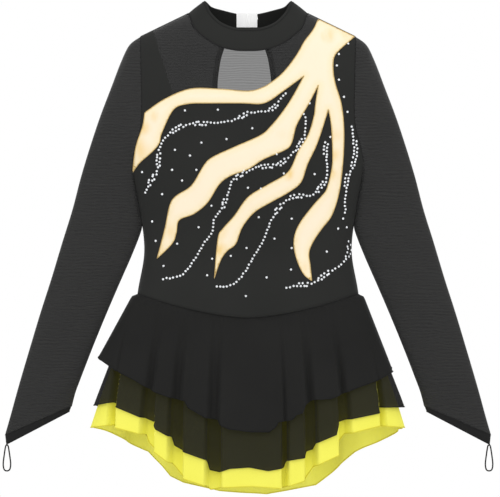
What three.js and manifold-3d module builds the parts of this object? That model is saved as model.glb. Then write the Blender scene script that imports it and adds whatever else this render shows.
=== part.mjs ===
// Long-sleeved cheer dress with a flame applique and a three-tier skirt.
// Millimetres, +Z up. The garment stands as if on a body: the front faces -Y, the wearer's
// right sleeve is at -X, and the origin lies in the neck opening between the shoulders.
import * as THREE from 'three';
import { mergeVertices } from 'three/addons/utils/BufferGeometryUtils.js';
import Module from 'manifold-3d';

const wasm = await Module();
wasm.setup();

// ---- cloth, gaps and fasteners ----
const bodiceWall = 1.2; // bodice, yoke, collar and sleeve cloth
const chiffonWall = 1.0; // one skirt tier
const seamGap = 0.4; // between pieces sewn edge to edge
const armholeGap = 0.75 * bodiceWall; // the panels' inner faces reach towards the sleeve head
const waistGap = 0.8; // between the skirt's top edges and the bodice
const cuffGap = bodiceWall / 3; // between a sleeve's end and its hem band
const layerGap = 0.4; // between pieces that lie on each other
const appliqueThickness = 0.7;
const trailWidth = 3.0;
const trailThickness = 0.6;

// ---- torso ----
const shoulderHalf = 150; // centre front to the top of the armhole
const shoulderTipZ = -12;
const neckHalf = 84; // centre front to where the collar meets the shoulder seam
const neckShoulderZ = 20;
const underarmHalf = 163;
const underarmZ = -204;
const armholeNotchHalf = 148; // where the armhole cuts furthest in
const yokeHalf = 178; // width the chest section would have above the armhole
const waistHalf = 144.5;
const waistZ = -310;
const hipHalf = 154; // where the skirt is sewn on
const hipZ = -372;
const neckDepth = 34; // half depths, front to back
const chestDepth = 44;
const waistDepth = 36;
const hipDepth = 44;
const sectionPower = 2.6; // squareness of the body section
const shoulderRoll = 70; // height over which the shoulder rounds over
const shoulderRise = 15; // crown of the shoulder line at the neck
const skirtSeamDip = 33; // how far the skirt seam dips at centre front
const skirtSeamDipBack = 20;
const backYokeZ = -150; // lower edge of the sheer back yoke

// ---- collar ----
const collarLean = 23; // the collar leans in this far from its seam to its top at each side
const collarTopHalf = neckHalf - collarLean;
const collarTopZ = 38;
const collarFrontTopZ = -1;
const collarBackTopZ = 19;
const collarFrontSeamZ = -33;
const collarBackSeamZ = -12;
const collarTopFrontY = 30;
const collarTopBackY = 22;
const collarGapX = 17; // the back opening of the collar band
const tabLength = 40;
const tabWidth = 18;
const tabThickness = 1.2;
const tabSewnX = 20;
const snapDiameter = 8;
const snapStudPost = 3.4;
const snapSpacing = 10;
const labelWidth = 29;
const labelHeight = 22;
const labelThickness = 0.6;
const labelX = -1.5;
const labelProud = 4; // how far the label stands above the collar's back edge

// ---- keyhole in the back yoke ----
const keyholeX = -5;
const keyholeTopHalf = 22;
const keyholeHalf = 39;
const keyholeBottomZ = -140;
const bindingRadius = 1.2;

// ---- sleeves ----
const sleeveTopDepth = 24;
const sleeveDepth = 13;
const cuffDepth = 9;
const loopLength = 35;
const loopWidth = 10.5;
const loopCord = 2;

// ---- skirt ----
const tierInset = 1.5; // each tier is sewn in this far inside the one above it
const hemHalfDepth = 62;
const foldCount = 14;
const foldDepth = 5;
// Each tier's hem stands `flare` wider than the hip on either side.
const tiers = [
  { name: 'skirt_tier_top', flare: 56, sideZ: -460, frontZ: -564, backZ: -572, color: 0x262625 },
  { name: 'skirt_tier_middle', flare: 60, sideZ: -528, frontZ: -616, backZ: -622, color: 0x262625 },
  { name: 'skirt_tier_bottom', flare: 64, sideZ: -560, frontZ: -640, backZ: -654, color: 0xeee850 },
];

// ---- built-in brief ----
const briefInset = 4.8; // inside the hip line
const legTopZ = -455;
const crotchZ = -572;
const crotchHalf = 35;
const crotchRoll = 60;
const gussetHalfDepth = 22;
const elasticRadius = 1.5;

// ---- materials ----
const cloth = (color, roughness = 0.8, metalness = 0) =>
  new THREE.MeshStandardMaterial({ color, roughness, metalness, side: THREE.DoubleSide });
const black = cloth(0x282928);
const mesh = cloth(0x2e2e2d, 0.7);
const foil = cloth(0xfdeccd, 0.45);
const crystal = cloth(0xe8e8ee, 0.15, 0.6);
const steel = cloth(0xc8c8c8, 0.3, 0.9);
const white = cloth(0xf2f2f2);

const garment = new THREE.Group();

function add(name, geometry, material, parent = garment) {
  const piece = new THREE.Mesh(geometry, material);
  piece.name = name;
  parent.add(piece);
  return piece;
}

// ---- small helpers ----
const { lerp, clamp } = THREE.MathUtils;
const V = (x, y, z) => new THREE.Vector3(x, y, z);

// A smooth value along a list of [position, value] stations, level beyond its ends.
function profile(stations) {
  const knots = [...stations].sort((a, b) => a[0] - b[0]);
  const slope = (i) => {
    const before = knots[Math.max(i - 1, 0)];
    const after = knots[Math.min(i + 1, knots.length - 1)];
    const left = knots[i][1] - before[1];
    const right = after[1] - knots[i][1];
    return left * right <= 0 ? 0 : (after[1] - before[1]) / (after[0] - before[0]);
  };
  return (at) => {
    const t = clamp(at, knots[0][0], knots[knots.length - 1][0]);
    let i = 0;
    while (i < knots.length - 2 && t > knots[i + 1][0]) i += 1;
    const [t0, v0] = knots[i];
    const [t1, v1] = knots[i + 1];
    const span = t1 - t0;
    const k = (t - t0) / span;
    const k2 = k * k;
    const k3 = k2 * k;
    return v0 * (2 * k3 - 3 * k2 + 1) + slope(i) * span * (k3 - 2 * k2 + k)
      + v1 * (3 * k2 - 2 * k3) + slope(i + 1) * span * (k3 - k2);
  };
}

// Turns a closed triangle list so that its faces point out.
function facingOut(geometry) {
  const p = geometry.attributes.position;
  const index = geometry.index.array;
  const corner = [V(0, 0, 0), V(0, 0, 0), V(0, 0, 0)];
  let volume = 0;
  for (let i = 0; i < index.length; i += 3) {
    corner.forEach((c, k) => c.fromBufferAttribute(p, index[i + k]));
    volume += corner[0].dot(corner[1].cross(corner[2]));
  }
  if (volume < 0) {
    for (let i = 0; i < index.length; i += 3) {
      [index[i], index[i + 1]] = [index[i + 1], index[i]];
    }
  }
  geometry.computeVertexNormals();
  return geometry;
}

// A cloth solid from an outer and an inner grid of points. A closed grid joins its last column
// to its first; otherwise all four edges get a rim.
function clothSolid(outer, inner, closed = false) {
  const rows = outer.length;
  const columns = outer[0].length;
  const spans = closed ? columns : columns - 1;
  const positions = [...outer.flat(), ...inner.flat()].flatMap((p) => [p.x, p.y, p.z]);
  const at = (side, row, column) => (side * rows + row) * columns + (column % columns);
  const index = [];
  const quad = (a, b, c, d) => index.push(a, b, c, a, c, d);
  for (let i = 0; i < rows - 1; i += 1) {
    for (let j = 0; j < spans; j += 1) {
      quad(at(0, i, j), at(0, i, j + 1), at(0, i + 1, j + 1), at(0, i + 1, j));
      quad(at(1, i, j), at(1, i + 1, j), at(1, i + 1, j + 1), at(1, i, j + 1));
    }
    if (!closed) {
      quad(at(0, i, 0), at(0, i + 1, 0), at(1, i + 1, 0), at(1, i, 0));
      quad(at(0, i, spans), at(1, i, spans), at(1, i + 1, spans), at(0, i + 1, spans));
    }
  }
  for (let j = 0; j < spans; j += 1) {
    quad(at(0, 0, j), at(1, 0, j), at(1, 0, j + 1), at(0, 0, j + 1));
    const last = rows - 1;
    quad(at(0, last, j), at(0, last, j + 1), at(1, last, j + 1), at(1, last, j));
  }
  const geometry = new THREE.BufferGeometry();
  geometry.setAttribute('position', new THREE.Float32BufferAttribute(positions, 3));
  geometry.setIndex(index);
  return facingOut(geometry);
}

function grid(rows, columns, point) {
  return Array.from({ length: rows + 1 }, (_, i) =>
    Array.from({ length: columns }, (_, j) => point(i / rows, j)));
}

// Moves every point of a grid along the grid's own normal, away from `outward(point)`'s side.
function offsetGrid(points, distance, closed, outward) {
  const rows = points.length;
  const columns = points[0].length;
  const column = (j) => (closed ? (j + columns) % columns : clamp(j, 0, columns - 1));
  return points.map((row, i) => row.map((p, j) => {
    const along = points[i][column(j + 1)].clone().sub(points[i][column(j - 1)]);
    const down = points[Math.min(i + 1, rows - 1)][j].clone().sub(points[Math.max(i - 1, 0)][j]);
    const normal = along.cross(down).normalize();
    if (normal.dot(outward(p)) < 0) normal.negate();
    return p.clone().addScaledVector(normal, distance);
  }));
}

const wallSolid = (points, wall, closed, outward) =>
  clothSolid(points, offsetGrid(points, -wall, closed, outward), closed);

// ---- manifold solids, for pieces that are joined or cut ----
function solid(geometry) {
  const source = geometry.clone();
  source.deleteAttribute('normal');
  source.deleteAttribute('uv');
  const merged = mergeVertices(source, 1e-4);
  const outline = new wasm.Mesh({
    numProp: 3,
    vertProperties: new Float32Array(merged.attributes.position.array),
    triVerts: new Uint32Array(merged.index.array),
  });
  return new wasm.Manifold(outline);
}

function geometryOf(manifold) {
  const cut = manifold.getMesh();
  const geometry = new THREE.BufferGeometry();
  geometry.setAttribute('position', new THREE.BufferAttribute(cut.vertProperties, 3));
  geometry.setIndex(new THREE.BufferAttribute(cut.triVerts, 1));
  return facingOut(mergeVertices(geometry, 2e-3));
}

// ---- body surface ----
const bodyHalf = profile([[hipZ - 50, hipHalf + 4], [hipZ, hipHalf], [waistZ, waistHalf],
  [-240, 154], [underarmZ, underarmHalf], [-165, 172], [-120, yokeHalf], [40, yokeHalf]]);
const bodyDepth = profile([[hipZ - 50, hipDepth + 3], [hipZ, hipDepth], [waistZ, waistDepth],
  [-170, chestDepth], [-100, chestDepth - 2], [collarFrontSeamZ, neckDepth], [40, neckDepth]]);
const armhole = profile([[underarmZ, underarmHalf], [-190, underarmHalf - 1], [-165, 157],
  [-140, 150], [-110, armholeNotchHalf], [-60, 149], [shoulderTipZ, shoulderHalf]]);
const panelHalf = (z) => (z > underarmZ ? armhole(z) : bodyHalf(z));

const section = (share) =>
  (1 - Math.min(Math.abs(share), 1) ** sectionPower) ** (1 / sectionPower);
const roll = (t) => Math.sqrt(1 - (1 - clamp(t, 0, 1)) ** 2);

function shoulderLine(x) {
  const side = Math.abs(x);
  if (side < neckHalf) return neckShoulderZ + shoulderRise * (1 - (side / neckHalf) ** 2);
  const fall = (neckShoulderZ - shoulderTipZ) / (shoulderHalf - neckHalf);
  return neckShoulderZ - fall * (side - neckHalf);
}

// Half the body's depth at a place on its front or back.
function depthAt(x, z) {
  const top = roll((shoulderLine(x) - z) / shoulderRoll);
  return Math.max(bodyDepth(z) * section(x / bodyHalf(z)) * top, seamGap / 2);
}

const onBody = (x, z, side) => V(x, side * depthAt(x, z), z);
const bodyOutward = (side) => (p) => V(p.x / 4, side * neckDepth, Math.max(p.z - shoulderTipZ, 0));

// Spreads columns so that they bunch at the side seams, where the body curves most.
const spread = (s) => Math.sign(s) * Math.abs(Math.sin((s * Math.PI) / 2)) ** (2 / sectionPower);

// A panel of the body from one side seam or armhole to the other.
function panelPoints(side, rows, columns, bottomZ, topZ) {
  return grid(rows, columns + 1, (v, j) => {
    const s = spread((2 * j) / columns - 1);
    let z = bottomZ(0);
    for (let pass = 0; pass < 6; pass += 1) {
      const x = s * panelHalf(z);
      z = lerp(bottomZ(x), topZ(x), 1 - (1 - v) ** 1.5);
    }
    return onBody(s * panelHalf(z), z, side);
  });
}

// Gives a panel its wall, and keeps it on its own side of the side and shoulder seams.
function clothOn(points, side) {
  const inner = offsetGrid(points, -bodiceWall, false, bodyOutward(side));
  inner.flat().forEach((p) => { p.y = side * Math.max(side * p.y, seamGap / 2); });
  return clothSolid(points, inner);
}

const skirtSeam = (side) => (x) => hipZ
  - (side < 0 ? skirtSeamDip : skirtSeamDipBack) * (1 - (Math.abs(x) / hipHalf) ** 1.6);

// The upper edge of the opaque bodice, which the first flame covers.
const bodiceEdge = profile([[-underarmHalf, -184], [-150, -150], [-130, -113], [-100, -98],
  [-65, -90], [0, -93], [20, -88], [35, -80], [59, -58], [79, -27], [91, -9], [97, 2], [100, 30]]);
const yokeRightX = 97;

add('bodice_back', clothOn(panelPoints(1, 6, 16, skirtSeam(1), () => backYokeZ), 1), black);

const collarSeam = (side) => profile([[0, side < 0 ? collarFrontSeamZ : collarBackSeamZ],
  [20, side < 0 ? -32 : -10.5], [42, side < 0 ? -26 : -3], [61, side < 0 ? -14 : 5],
  [77, side < 0 ? 2 : 14], [neckHalf, neckShoulderZ]]);
const seamFront = collarSeam(-1);
const seamBack = collarSeam(1);

// ---- cutters: flat outlines pushed right through one side of the body ----
const cutterReach = 120;
const farTop = 80; // above the whole garment
function cutter(points) {
  const shape = new THREE.Shape(points.map(([x, z]) => new THREE.Vector2(x, z)));
  const prism = new THREE.ExtrudeGeometry(shape, { depth: 2 * cutterReach, bevelEnabled: false });
  prism.rotateX(Math.PI / 2).translate(0, cutterReach, 0);
  return solid(prism);
}

// Where the collar stands; the columns are the collar's own, so that the seams run together.
const collarColumns = 32;
function neckCutter(side) {
  const seam = side < 0 ? seamFront : seamBack;
  const points = [];
  for (let j = 0; j <= collarColumns / 2; j += 1) {
    const across = Math.sin(((2 * j) / collarColumns - 0.5) * Math.PI);
    points.push([(neckHalf + 2 * seamGap) * across, seam(neckHalf * Math.abs(across)) - seamGap]);
  }
  const [outermost] = points[points.length - 1];
  return cutter([...points, [outermost, farTop], [-outermost, farTop]]);
}

// The opaque bodice and the sheer yoke are cut from one front panel, along the bodice edge.
const frontPoints = panelPoints(-1, 16, 20, skirtSeam(-1), shoulderLine);
const frontPanel = solid(clothOn(frontPoints, -1)).subtract(neckCutter(-1));
const edgeSteps = 26;
const edgeStart = -200;
const bodiceEdgePoints = Array.from({ length: edgeSteps + 1 }, (_, i) => {
  const x = lerp(edgeStart, yokeRightX, i / edgeSteps);
  return [x, bodiceEdge(x)];
});
const yokeRegion = cutter([
  ...bodiceEdgePoints.map(([x, z]) => [x - seamGap, z + seamGap]),
  [yokeRightX - seamGap, farTop], [edgeStart, farTop]]);
const yokeAndSeam = cutter([...bodiceEdgePoints, [yokeRightX, farTop], [edgeStart, farTop]]);
add('bodice_front', geometryOf(frontPanel.subtract(yokeAndSeam)), black);
add('yoke_front', geometryOf(frontPanel.intersect(yokeRegion)), mesh);

// ---- back yoke with its keyhole ----
const keyholeSide = [[keyholeTopHalf, seamBack(keyholeTopHalf)], [34, -42],
  [keyholeHalf, -86], [32, -118], [0, keyholeBottomZ]];
const keyholeCurve = new THREE.CatmullRomCurve3([
  ...keyholeSide.map(([half, z]) => V(keyholeX - half, 0, z)),
  ...keyholeSide.slice(0, -1).reverse().map(([half, z]) => V(keyholeX + half, 0, z)),
], false, 'centripetal');
const keyholeSteps = 20;
const keyholePoints = keyholeCurve.getPoints(keyholeSteps);

const keyholeCutter = cutter([
  [keyholeX - keyholeTopHalf, farTop],
  ...keyholePoints.map((p) => [p.x, p.z]),
  [keyholeX + keyholeTopHalf, farTop]]);
const backPoints = panelPoints(1, 9, 20, () => backYokeZ + seamGap, shoulderLine);
const backPanel = solid(clothOn(backPoints, 1)).subtract(neckCutter(1)).subtract(keyholeCutter);
add('yoke_back', geometryOf(backPanel), mesh);

// A round cord along an open list of points.
function cord(points, radius, sides, steps) {
  const path = new THREE.CatmullRomCurve3(points, false, 'centripetal');
  const shape = new THREE.Shape().absarc(0, 0, radius, 0, Math.PI * 2);
  const options = { steps, curveSegments: sides / 2, extrudePath: path, bevelEnabled: false };
  return welded(new THREE.ExtrudeGeometry(shape, options));
}

function welded(geometry) {
  geometry.deleteAttribute('normal');
  geometry.deleteAttribute('uv');
  return facingOut(mergeVertices(geometry, 1e-3));
}

const bindingIn = bindingRadius + 2 * seamGap;
const bindingPoints = keyholePoints.map((p, i, all) => {
  const ahead = all[Math.min(i + 1, all.length - 1)];
  const behind = all[Math.max(i - 1, 0)];
  const along = ahead.clone().sub(behind).normalize();
  const x = p.x - along.z * bindingIn;
  const z = p.z + along.x * bindingIn - (i === 0 || i === all.length - 1 ? 3 : 0);
  return V(x, depthAt(x, z) - bodiceWall / 2, z);
});
add('keyhole_binding', cord(bindingPoints, bindingRadius, 8, 26), black);

// ---- collar ----
const collarTopFront = profile([[0, collarFrontTopZ], [18, 0], [38, 8], [52, 22],
  [collarTopHalf, collarTopZ]]);
const collarTopBack = profile([[0, collarBackTopZ], [15, 20.5], [38, 26], [51, 30],
  [collarTopHalf, collarTopZ]]);

// A place on the collar: `turn` runs round the neck from centre front, `rise` up the band.
function onCollar(turn, rise) {
  const across = Math.sin(turn);
  const side = Math.cos(turn) > 0 ? -1 : 1;
  const seam = side < 0 ? seamFront : seamBack;
  const top = side < 0 ? collarTopFront : collarTopBack;
  const topY = side < 0 ? collarTopFrontY : collarTopBackY;
  const low = onBody(across * neckHalf, seam(Math.abs(across) * neckHalf), side);
  const high = V(across * collarTopHalf, -topY * Math.cos(turn),
    top(Math.abs(across) * collarTopHalf));
  const start = seamGap / low.distanceTo(high);
  return low.lerp(high, lerp(start, 1, rise));
}

function collarBand() {
  const open = Math.asin(collarGapX / neckHalf);
  const halfGap = seamGap / neckHalf;
  const first = halfGap - Math.PI - open;
  const last = Math.PI - open - halfGap;
  const points = grid(2, collarColumns + 1, (v, j) => onCollar(lerp(first, last, j / collarColumns), v));
  return wallSolid(points, bodiceWall, false, (p) => V(p.x, p.y, 0));
}
add('collar', collarBand(), black);

// The closing tab lies on the back of the collar in a frame of its own: X across, Y out, Z up.
const backLow = onCollar(Math.PI, 0);
const backHigh = onCollar(Math.PI, 1);
const backUp = backHigh.clone().sub(backLow).normalize();
const backOut = V(1, 0, 0).cross(backUp).negate();
if (backOut.y < 0) backOut.negate();
const closure = new THREE.Group();
closure.position.copy(backLow).lerp(backHigh, 0.5);
closure.setRotationFromMatrix(new THREE.Matrix4().makeBasis(V(1, 0, 0), backOut, backUp));
garment.add(closure);

const tabLift = 1.7; // the tab's inner face above the collar at centre back
const tabTilt = 0.075; // it leans out towards its free end
const tab = new THREE.Group();
tab.position.set(0, tabLift, 0);
tab.rotation.z = -tabTilt;
closure.add(tab);

function tabPlate() {
  const half = tabWidth / 2;
  const shape = new THREE.Shape();
  shape.moveTo(tabSewnX, -half);
  shape.lineTo(tabSewnX, half);
  shape.lineTo(tabSewnX - tabLength + half, half);
  shape.absarc(tabSewnX - tabLength + half, 0, half, Math.PI / 2, (3 * Math.PI) / 2, false);
  const plate = new THREE.ExtrudeGeometry(shape,
    { depth: tabThickness, bevelEnabled: false, curveSegments: 8 });
  plate.rotateX(Math.PI / 2).translate(0, tabThickness, 0);
  return welded(plate);
}
add('collar_tab', tabPlate(), black, tab);

const disc = (diameter, height) => new THREE.CylinderGeometry(diameter / 2, diameter / 2, height, 12);
const snapX = tabSewnX - tabLength + tabWidth / 2;
const capHeight = 1;
const studHeight = 1.1;
[['upper', 0.5], ['lower', -0.5]].forEach(([level, share]) => {
  const cap = add(`snap_cap_${level}`, disc(snapDiameter, capHeight), steel, tab);
  cap.position.set(snapX, tabThickness + layerGap + capHeight / 2, share * snapSpacing);
  const stud = add(`snap_stud_${level}`, disc(snapStudPost, studHeight), steel, closure);
  stud.position.set(snapX, layerGap + studHeight / 2 - 0.1, share * snapSpacing);
});

function neckLabel() {
  const inward = bodiceWall + layerGap + labelThickness / 2;
  const label = new THREE.BoxGeometry(labelWidth, labelThickness, labelHeight);
  const piece = add('neck_label', label, white, closure);
  const rise = backLow.distanceTo(backHigh) / 2 - labelHeight / 2 + labelProud;
  piece.position.set(labelX, -inward - 0.5, rise);
}
neckLabel();

// ---- sleeves ----
// From the waist down each sleeve hangs beside the skirt, so its places there count from the hip.
const besideSkirt = (points) => points.map(([away, z]) => [hipHalf + away, z]);
const sleeveTop = [[shoulderHalf, shoulderTipZ], [166, -24], [178, -48], [191, -82], [207, -124],
  [221, -166], [234, -209], ...besideSkirt([[92, -255], [106, -300], [121, -350], [137, -400],
    [152, -450], [167, -501], [178, -541], [186, -569]])];
const sleeveUnder = [[underarmHalf, underarmZ], [162.5, -213], [160.5, -223], [158, -234],
  [155.5, -247], [153, -260], [151.5, -272], ...besideSkirt([[-2, -286], [10, -320], [28, -361],
    [46, -403], [64, -447], [81, -491], [88, -510], [93, -529]])];
const [cuffTop, cuffUnder] = besideSkirt([[184.5, -583.5], [96, -537]]);
const edgeCurve = (points) =>
  new THREE.CatmullRomCurve3(points.map(([x, z]) => V(x, 0, z)), false, 'catmullrom', 0.5);
const sleeveTopCurve = edgeCurve(sleeveTop);
const sleeveUnderCurve = edgeCurve(sleeveUnder);
const sleeveColumns = 16;
const armholeReach = 0.25; // share of the sleeve over which the armhole's shape fades out

function sleeveRing(top, under, depth, turn) {
  const middle = top.clone().add(under).multiplyScalar(0.5);
  const half = top.clone().sub(under).multiplyScalar(0.5);
  return middle.addScaledVector(half, Math.cos(turn)).add(V(0, depth * Math.sin(turn), 0));
}

function onSleeve(along, turn) {
  const depth = lerp(sleeveTopDepth, sleeveDepth, Math.min(along / 0.4, 1))
    - (sleeveDepth - cuffDepth) * Math.max((along - 0.6) / 0.4, 0);
  const point = sleeveRing(sleeveTopCurve.getPoint(along), sleeveUnderCurve.getPoint(along),
    depth, turn);
  const fade = Math.max(1 - along / armholeReach, 0) ** 2;
  const start = sleeveRing(sleeveTopCurve.getPoint(0), sleeveUnderCurve.getPoint(0),
    sleeveTopDepth, turn);
  const seamX = armhole(start.z);
  const sine = Math.sin(turn);
  const seamY = Math.abs(sine) < 1e-6 ? 0 : Math.sign(sine) * depthAt(seamX, start.z);
  point.x += fade * (seamX + armholeGap - start.x);
  point.y += fade * (seamY - start.y);
  return point;
}

const flipX = (points, hand) => points.map((row) => row.map((p) => V(p.x * hand, p.y, p.z)));
const tubeOutward = (points) => {
  const centres = points.map((row) =>
    row.reduce((sum, p) => sum.add(p), V(0, 0, 0)).divideScalar(row.length));
  return (p) => {
    const i = points.findIndex((row) => row.includes(p));
    return p.clone().sub(centres[i]);
  };
};

function addSleeve(name, hand) {
  const tube = flipX(grid(12, sleeveColumns, (v, j) =>
    onSleeve(v ** 1.15, (j / sleeveColumns) * 2 * Math.PI)), hand);
  add(`sleeve_${name}`, wallSolid(tube, bodiceWall, true, tubeOutward(tube)), mesh);

  const end = (curve) => curve.getPoint(1);
  const along = (from, to) => from.clone().lerp(to, cuffGap / from.distanceTo(to));
  const top = along(end(sleeveTopCurve), V(cuffTop[0], 0, cuffTop[1]));
  const under = along(end(sleeveUnderCurve), V(cuffUnder[0], 0, cuffUnder[1]));
  const band = flipX(grid(1, sleeveColumns, (v, j) => sleeveRing(
    top.clone().lerp(V(cuffTop[0], 0, cuffTop[1]), v),
    under.clone().lerp(V(cuffUnder[0], 0, cuffUnder[1]), v),
    cuffDepth, (j / sleeveColumns) * 2 * Math.PI)), hand);
  add(`cuff_hem_${name}`, wallSolid(band, bodiceWall, true, tubeOutward(band)), black);

  const hang = V(hand * (cuffTop[0] - 1), 0, cuffTop[1] - loopCord / 2 - 0.5);
  const teardrop = [[0, 0], [-0.35, -0.05], [-0.75, -0.4], [-1, -0.72], [-0.75, -0.93], [0, -1],
    [0.75, -0.93], [1, -0.72], [0.75, -0.4], [0.35, -0.05]];
  const path = new THREE.CatmullRomCurve3(teardrop.map(([x, z]) =>
    V(hang.x + (x * loopWidth) / 2, 0, hang.z + z * loopLength)), true, 'centripetal');
  add(`finger_loop_${name}`, welded(new THREE.TubeGeometry(path, 24, loopCord / 2, 6, true)), black);
}

addSleeve('left', -1);
addSleeve('right', 1);

// ---- flame applique, cut from a thin skin that follows the bodice ----
const flameOutline = [
  [98, 14], [91, -3], [70, -35], [47, -65], [20, -84], [-19, -88], [-81, -86], [-116, -100],
  [-144, -119], [-146, -146], [-152, -158], [-155, -188], [-134, -174], [-120, -147], [-104, -115],
  [-84, -107], [-8, -106], [31, -102], [63, -79], [78, -68],
  [61, -99], [31, -139], [-1, -160], [-49, -181], [-79, -221], [-109, -248], [-120, -302],
  [-127, -323], [-106, -302], [-96, -269], [-75, -260], [-47, -228], [0, -198], [52, -171],
  [68, -136], [98, -81],
  [92, -124], [84, -150], [70, -173], [50, -209], [0, -237], [-35, -281], [-46, -323], [-47, -351],
  [-17, -302], [9, -258], [74, -216], [97, -161], [112, -115],
  [118, -157], [116, -202], [90, -247], [64, -305], [89, -354], [85, -315], [118, -260],
  [133, -180], [131, -111], [119, -60], [128, -31], [146, -14], [146, 14],
];

// A thin piece that lies on the bodice, with the outline given.
function onBodice(outline, thickness) {
  const low = offsetGrid(frontPoints, layerGap, false, bodyOutward(-1));
  const high = offsetGrid(frontPoints, layerGap + thickness, false, bodyOutward(-1));
  return geometryOf(solid(clothSolid(high, low)).intersect(cutter(outline)));
}
add('flame_applique', onBodice(flameOutline, appliqueThickness), foil);

// ---- crystal trails: thin glue films that the stones sit on, laid beside the flame ----
const trails = [
  [[46, -104], [33, -115], [17, -118], [0, -120], [-25, -130], [-62, -134], [-82, -135],
    [-106, -147], [-118, -159], [-125, -171], [-126, -195], [-134, -214], [-143, -231]],
  [[82, -126], [77, -141], [73, -155], [67, -167], [58, -180], [46, -190], [31, -194],
    [15, -198], [0, -205], [-13, -211], [-22, -218], [-32, -244], [-47, -268], [-59, -298],
    [-82, -335], [-97, -346], [-119, -351]],
  [[109, -161], [108, -172], [110, -187], [110, -199], [106, -213], [98, -226], [88, -234],
    [70, -236], [55, -243], [44, -252], [30, -275], [16, -308], [5, -325], [-5, -342],
    [-18, -357], [-30, -362], [-44, -363]],
  [[143, -140], [146, -155], [148, -168], [146, -182], [144, -196], [139, -211], [137, -226],
    [136, -243], [136, -259]],
  [[139, -299], [138, -318], [129, -331], [118, -339], [105, -347], [94, -358], [80, -360],
    [66, -361], [54, -364]],
];

function trail(stations) {
  const path = new THREE.CatmullRomCurve3(stations.map(([x, z]) => V(x, 0, z)), false, 'centripetal');
  const steps = 16;
  const edge = (hand) => Array.from({ length: steps + 1 }, (_, i) => {
    const p = path.getPointAt(i / steps);
    const along = path.getTangentAt(i / steps);
    const off = (hand * trailWidth) / 2;
    return [p.x - along.z * off, p.z + along.x * off];
  });
  return onBodice([...edge(1), ...edge(-1).reverse()], trailThickness);
}
trails.forEach((stations, i) => add(`rhinestone_trail_${i + 1}`, trail(stations), crystal));

// ---- skirt tiers, one sewn inside another ----
const tierColumns = 56;

function onTier(index, turn, drop) {
  const tier = tiers[index];
  const across = Math.sin(turn);
  const front = Math.cos(turn) > 0;
  const side = front ? -1 : 1;
  const inset = index * tierInset;
  const shareX = Math.sign(across) * Math.abs(across) ** (2 / sectionPower);
  const shareY = Math.abs(Math.cos(turn)) ** (2 / sectionPower);
  const topZ = skirtSeam(side)(shareX * hipHalf) - waistGap;
  const hemShare = 1 - (1 - Math.abs(across) ** 2) ** 1.8;
  const hemZ = lerp(front ? tier.frontZ : tier.backZ, tier.sideZ, hemShare);
  const fold = foldDepth * drop * Math.cos(turn * foldCount);
  const halfX = lerp(hipHalf - inset, hipHalf + tier.flare - foldDepth, drop) + fold;
  const halfY = lerp(hipDepth - inset, hemHalfDepth - foldDepth - index, drop) + fold;
  const flat = 1 - 0.35 * drop;
  const x = lerp(across, shareX, flat);
  const y = lerp(Math.abs(Math.cos(turn)), shareY, flat);
  return V(halfX * x, side * halfY * y, lerp(topZ, hemZ, drop));
}

tiers.forEach(({ name, color }, index) => {
  const points = grid(4, tierColumns, (v, j) =>
    onTier(index, (j / tierColumns) * 2 * Math.PI, v));
  const geometry = wallSolid(points, chiffonWall, true, (p) => V(p.x / 4, p.y, 20));
  add(name, geometry, cloth(color));
});

// ---- built-in brief: front, back, gusset and leg elastics ----
const briefHalf = profile([[hipZ + 30, hipHalf - briefInset], [legTopZ, hipHalf - briefInset],
  [crotchZ, 125]]);
const legEdge = profile([[legTopZ, hipHalf - briefInset], [-480, 124], [-515, 84], [-545, 50],
  [crotchZ + 10, crotchHalf]]);

function briefDepth(x, z) {
  const lift = roll((z - crotchZ) / crotchRoll);
  return Math.max((hipDepth - briefInset) * section(x / briefHalf(z)) * lift, seamGap / 2);
}

function briefPanel(side) {
  const lowZ = crotchZ + 10;
  const points = grid(7, 13, (v, j) => {
    const s = spread((2 * j) / 12 - 1);
    const halfTop = hipHalf - briefInset;
    const topZ = skirtSeam(side)(s * halfTop) - seamGap;
    const z = lerp(topZ, lowZ, v);
    const half = z > legTopZ ? briefHalf(z) : legEdge(z);
    return V(s * half, side * briefDepth(s * half, z), z);
  });
  const inner = offsetGrid(points, -bodiceWall, false, (p) => V(p.x / 4, side * neckDepth, 0));
  inner.flat().forEach((p) => { p.y = side * Math.max(side * p.y, seamGap / 2); });
  return clothSolid(points, inner);
}
add('brief_front', briefPanel(-1), black);
add('brief_back', briefPanel(1), black);

function gusset() {
  const reach = gussetHalfDepth - 1.3;
  const points = grid(8, 7, (v, j) => {
    const y = lerp(-reach, reach, v);
    const x = lerp(-crotchHalf, crotchHalf, j / 6);
    const rise = 1 - Math.sqrt(1 - (y / (hipDepth - briefInset)) ** 2);
    return V(x, y, crotchZ + crotchRoll * rise);
  });
  return wallSolid(points, bodiceWall, false, () => V(0, 0, -1));
}
add('brief_gusset', gusset(), black);

// A leg elastic runs down the front edge of the leg opening and back up behind.
function legElastic(hand) {
  const off = elasticRadius + bodiceWall / 2 + layerGap;
  const down = [-462, -480, -500, -520, -540, -556];
  const run = (side) => down.map((z) => {
    const x = legEdge(z);
    return V(hand * (x + off * 0.7), side * briefDepth(x, z), z - off * 0.7);
  });
  const under = [-10, 10].map((y) => V(hand * (crotchHalf + off), y, crotchZ - 1));
  const points = [V(hand * (hipHalf - briefInset - 1), 0, legTopZ - 6),
    ...run(-1), ...under, ...run(1).reverse()];
  const path = new THREE.CatmullRomCurve3(points, true, 'centripetal');
  return welded(new THREE.TubeGeometry(path, 26, elasticRadius, 6, true));
}
add('leg_elastic_left', legElastic(-1), black);
add('leg_elastic_right', legElastic(1), black);

export default garment;
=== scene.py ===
"""Cheer dress: sheer yoke and sleeves, opaque bodice with a foil flame and crystal trails, and a
flared skirt of three chiffon tiers over a built-in brief. The front faces -Y and +Z is up.
Garment sizes are in millimetres and become metres when a mesh is placed."""
import math
import random

import bmesh
import bpy
from mathutils import Matrix, Vector
from mathutils.kdtree import KDTree


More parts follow.
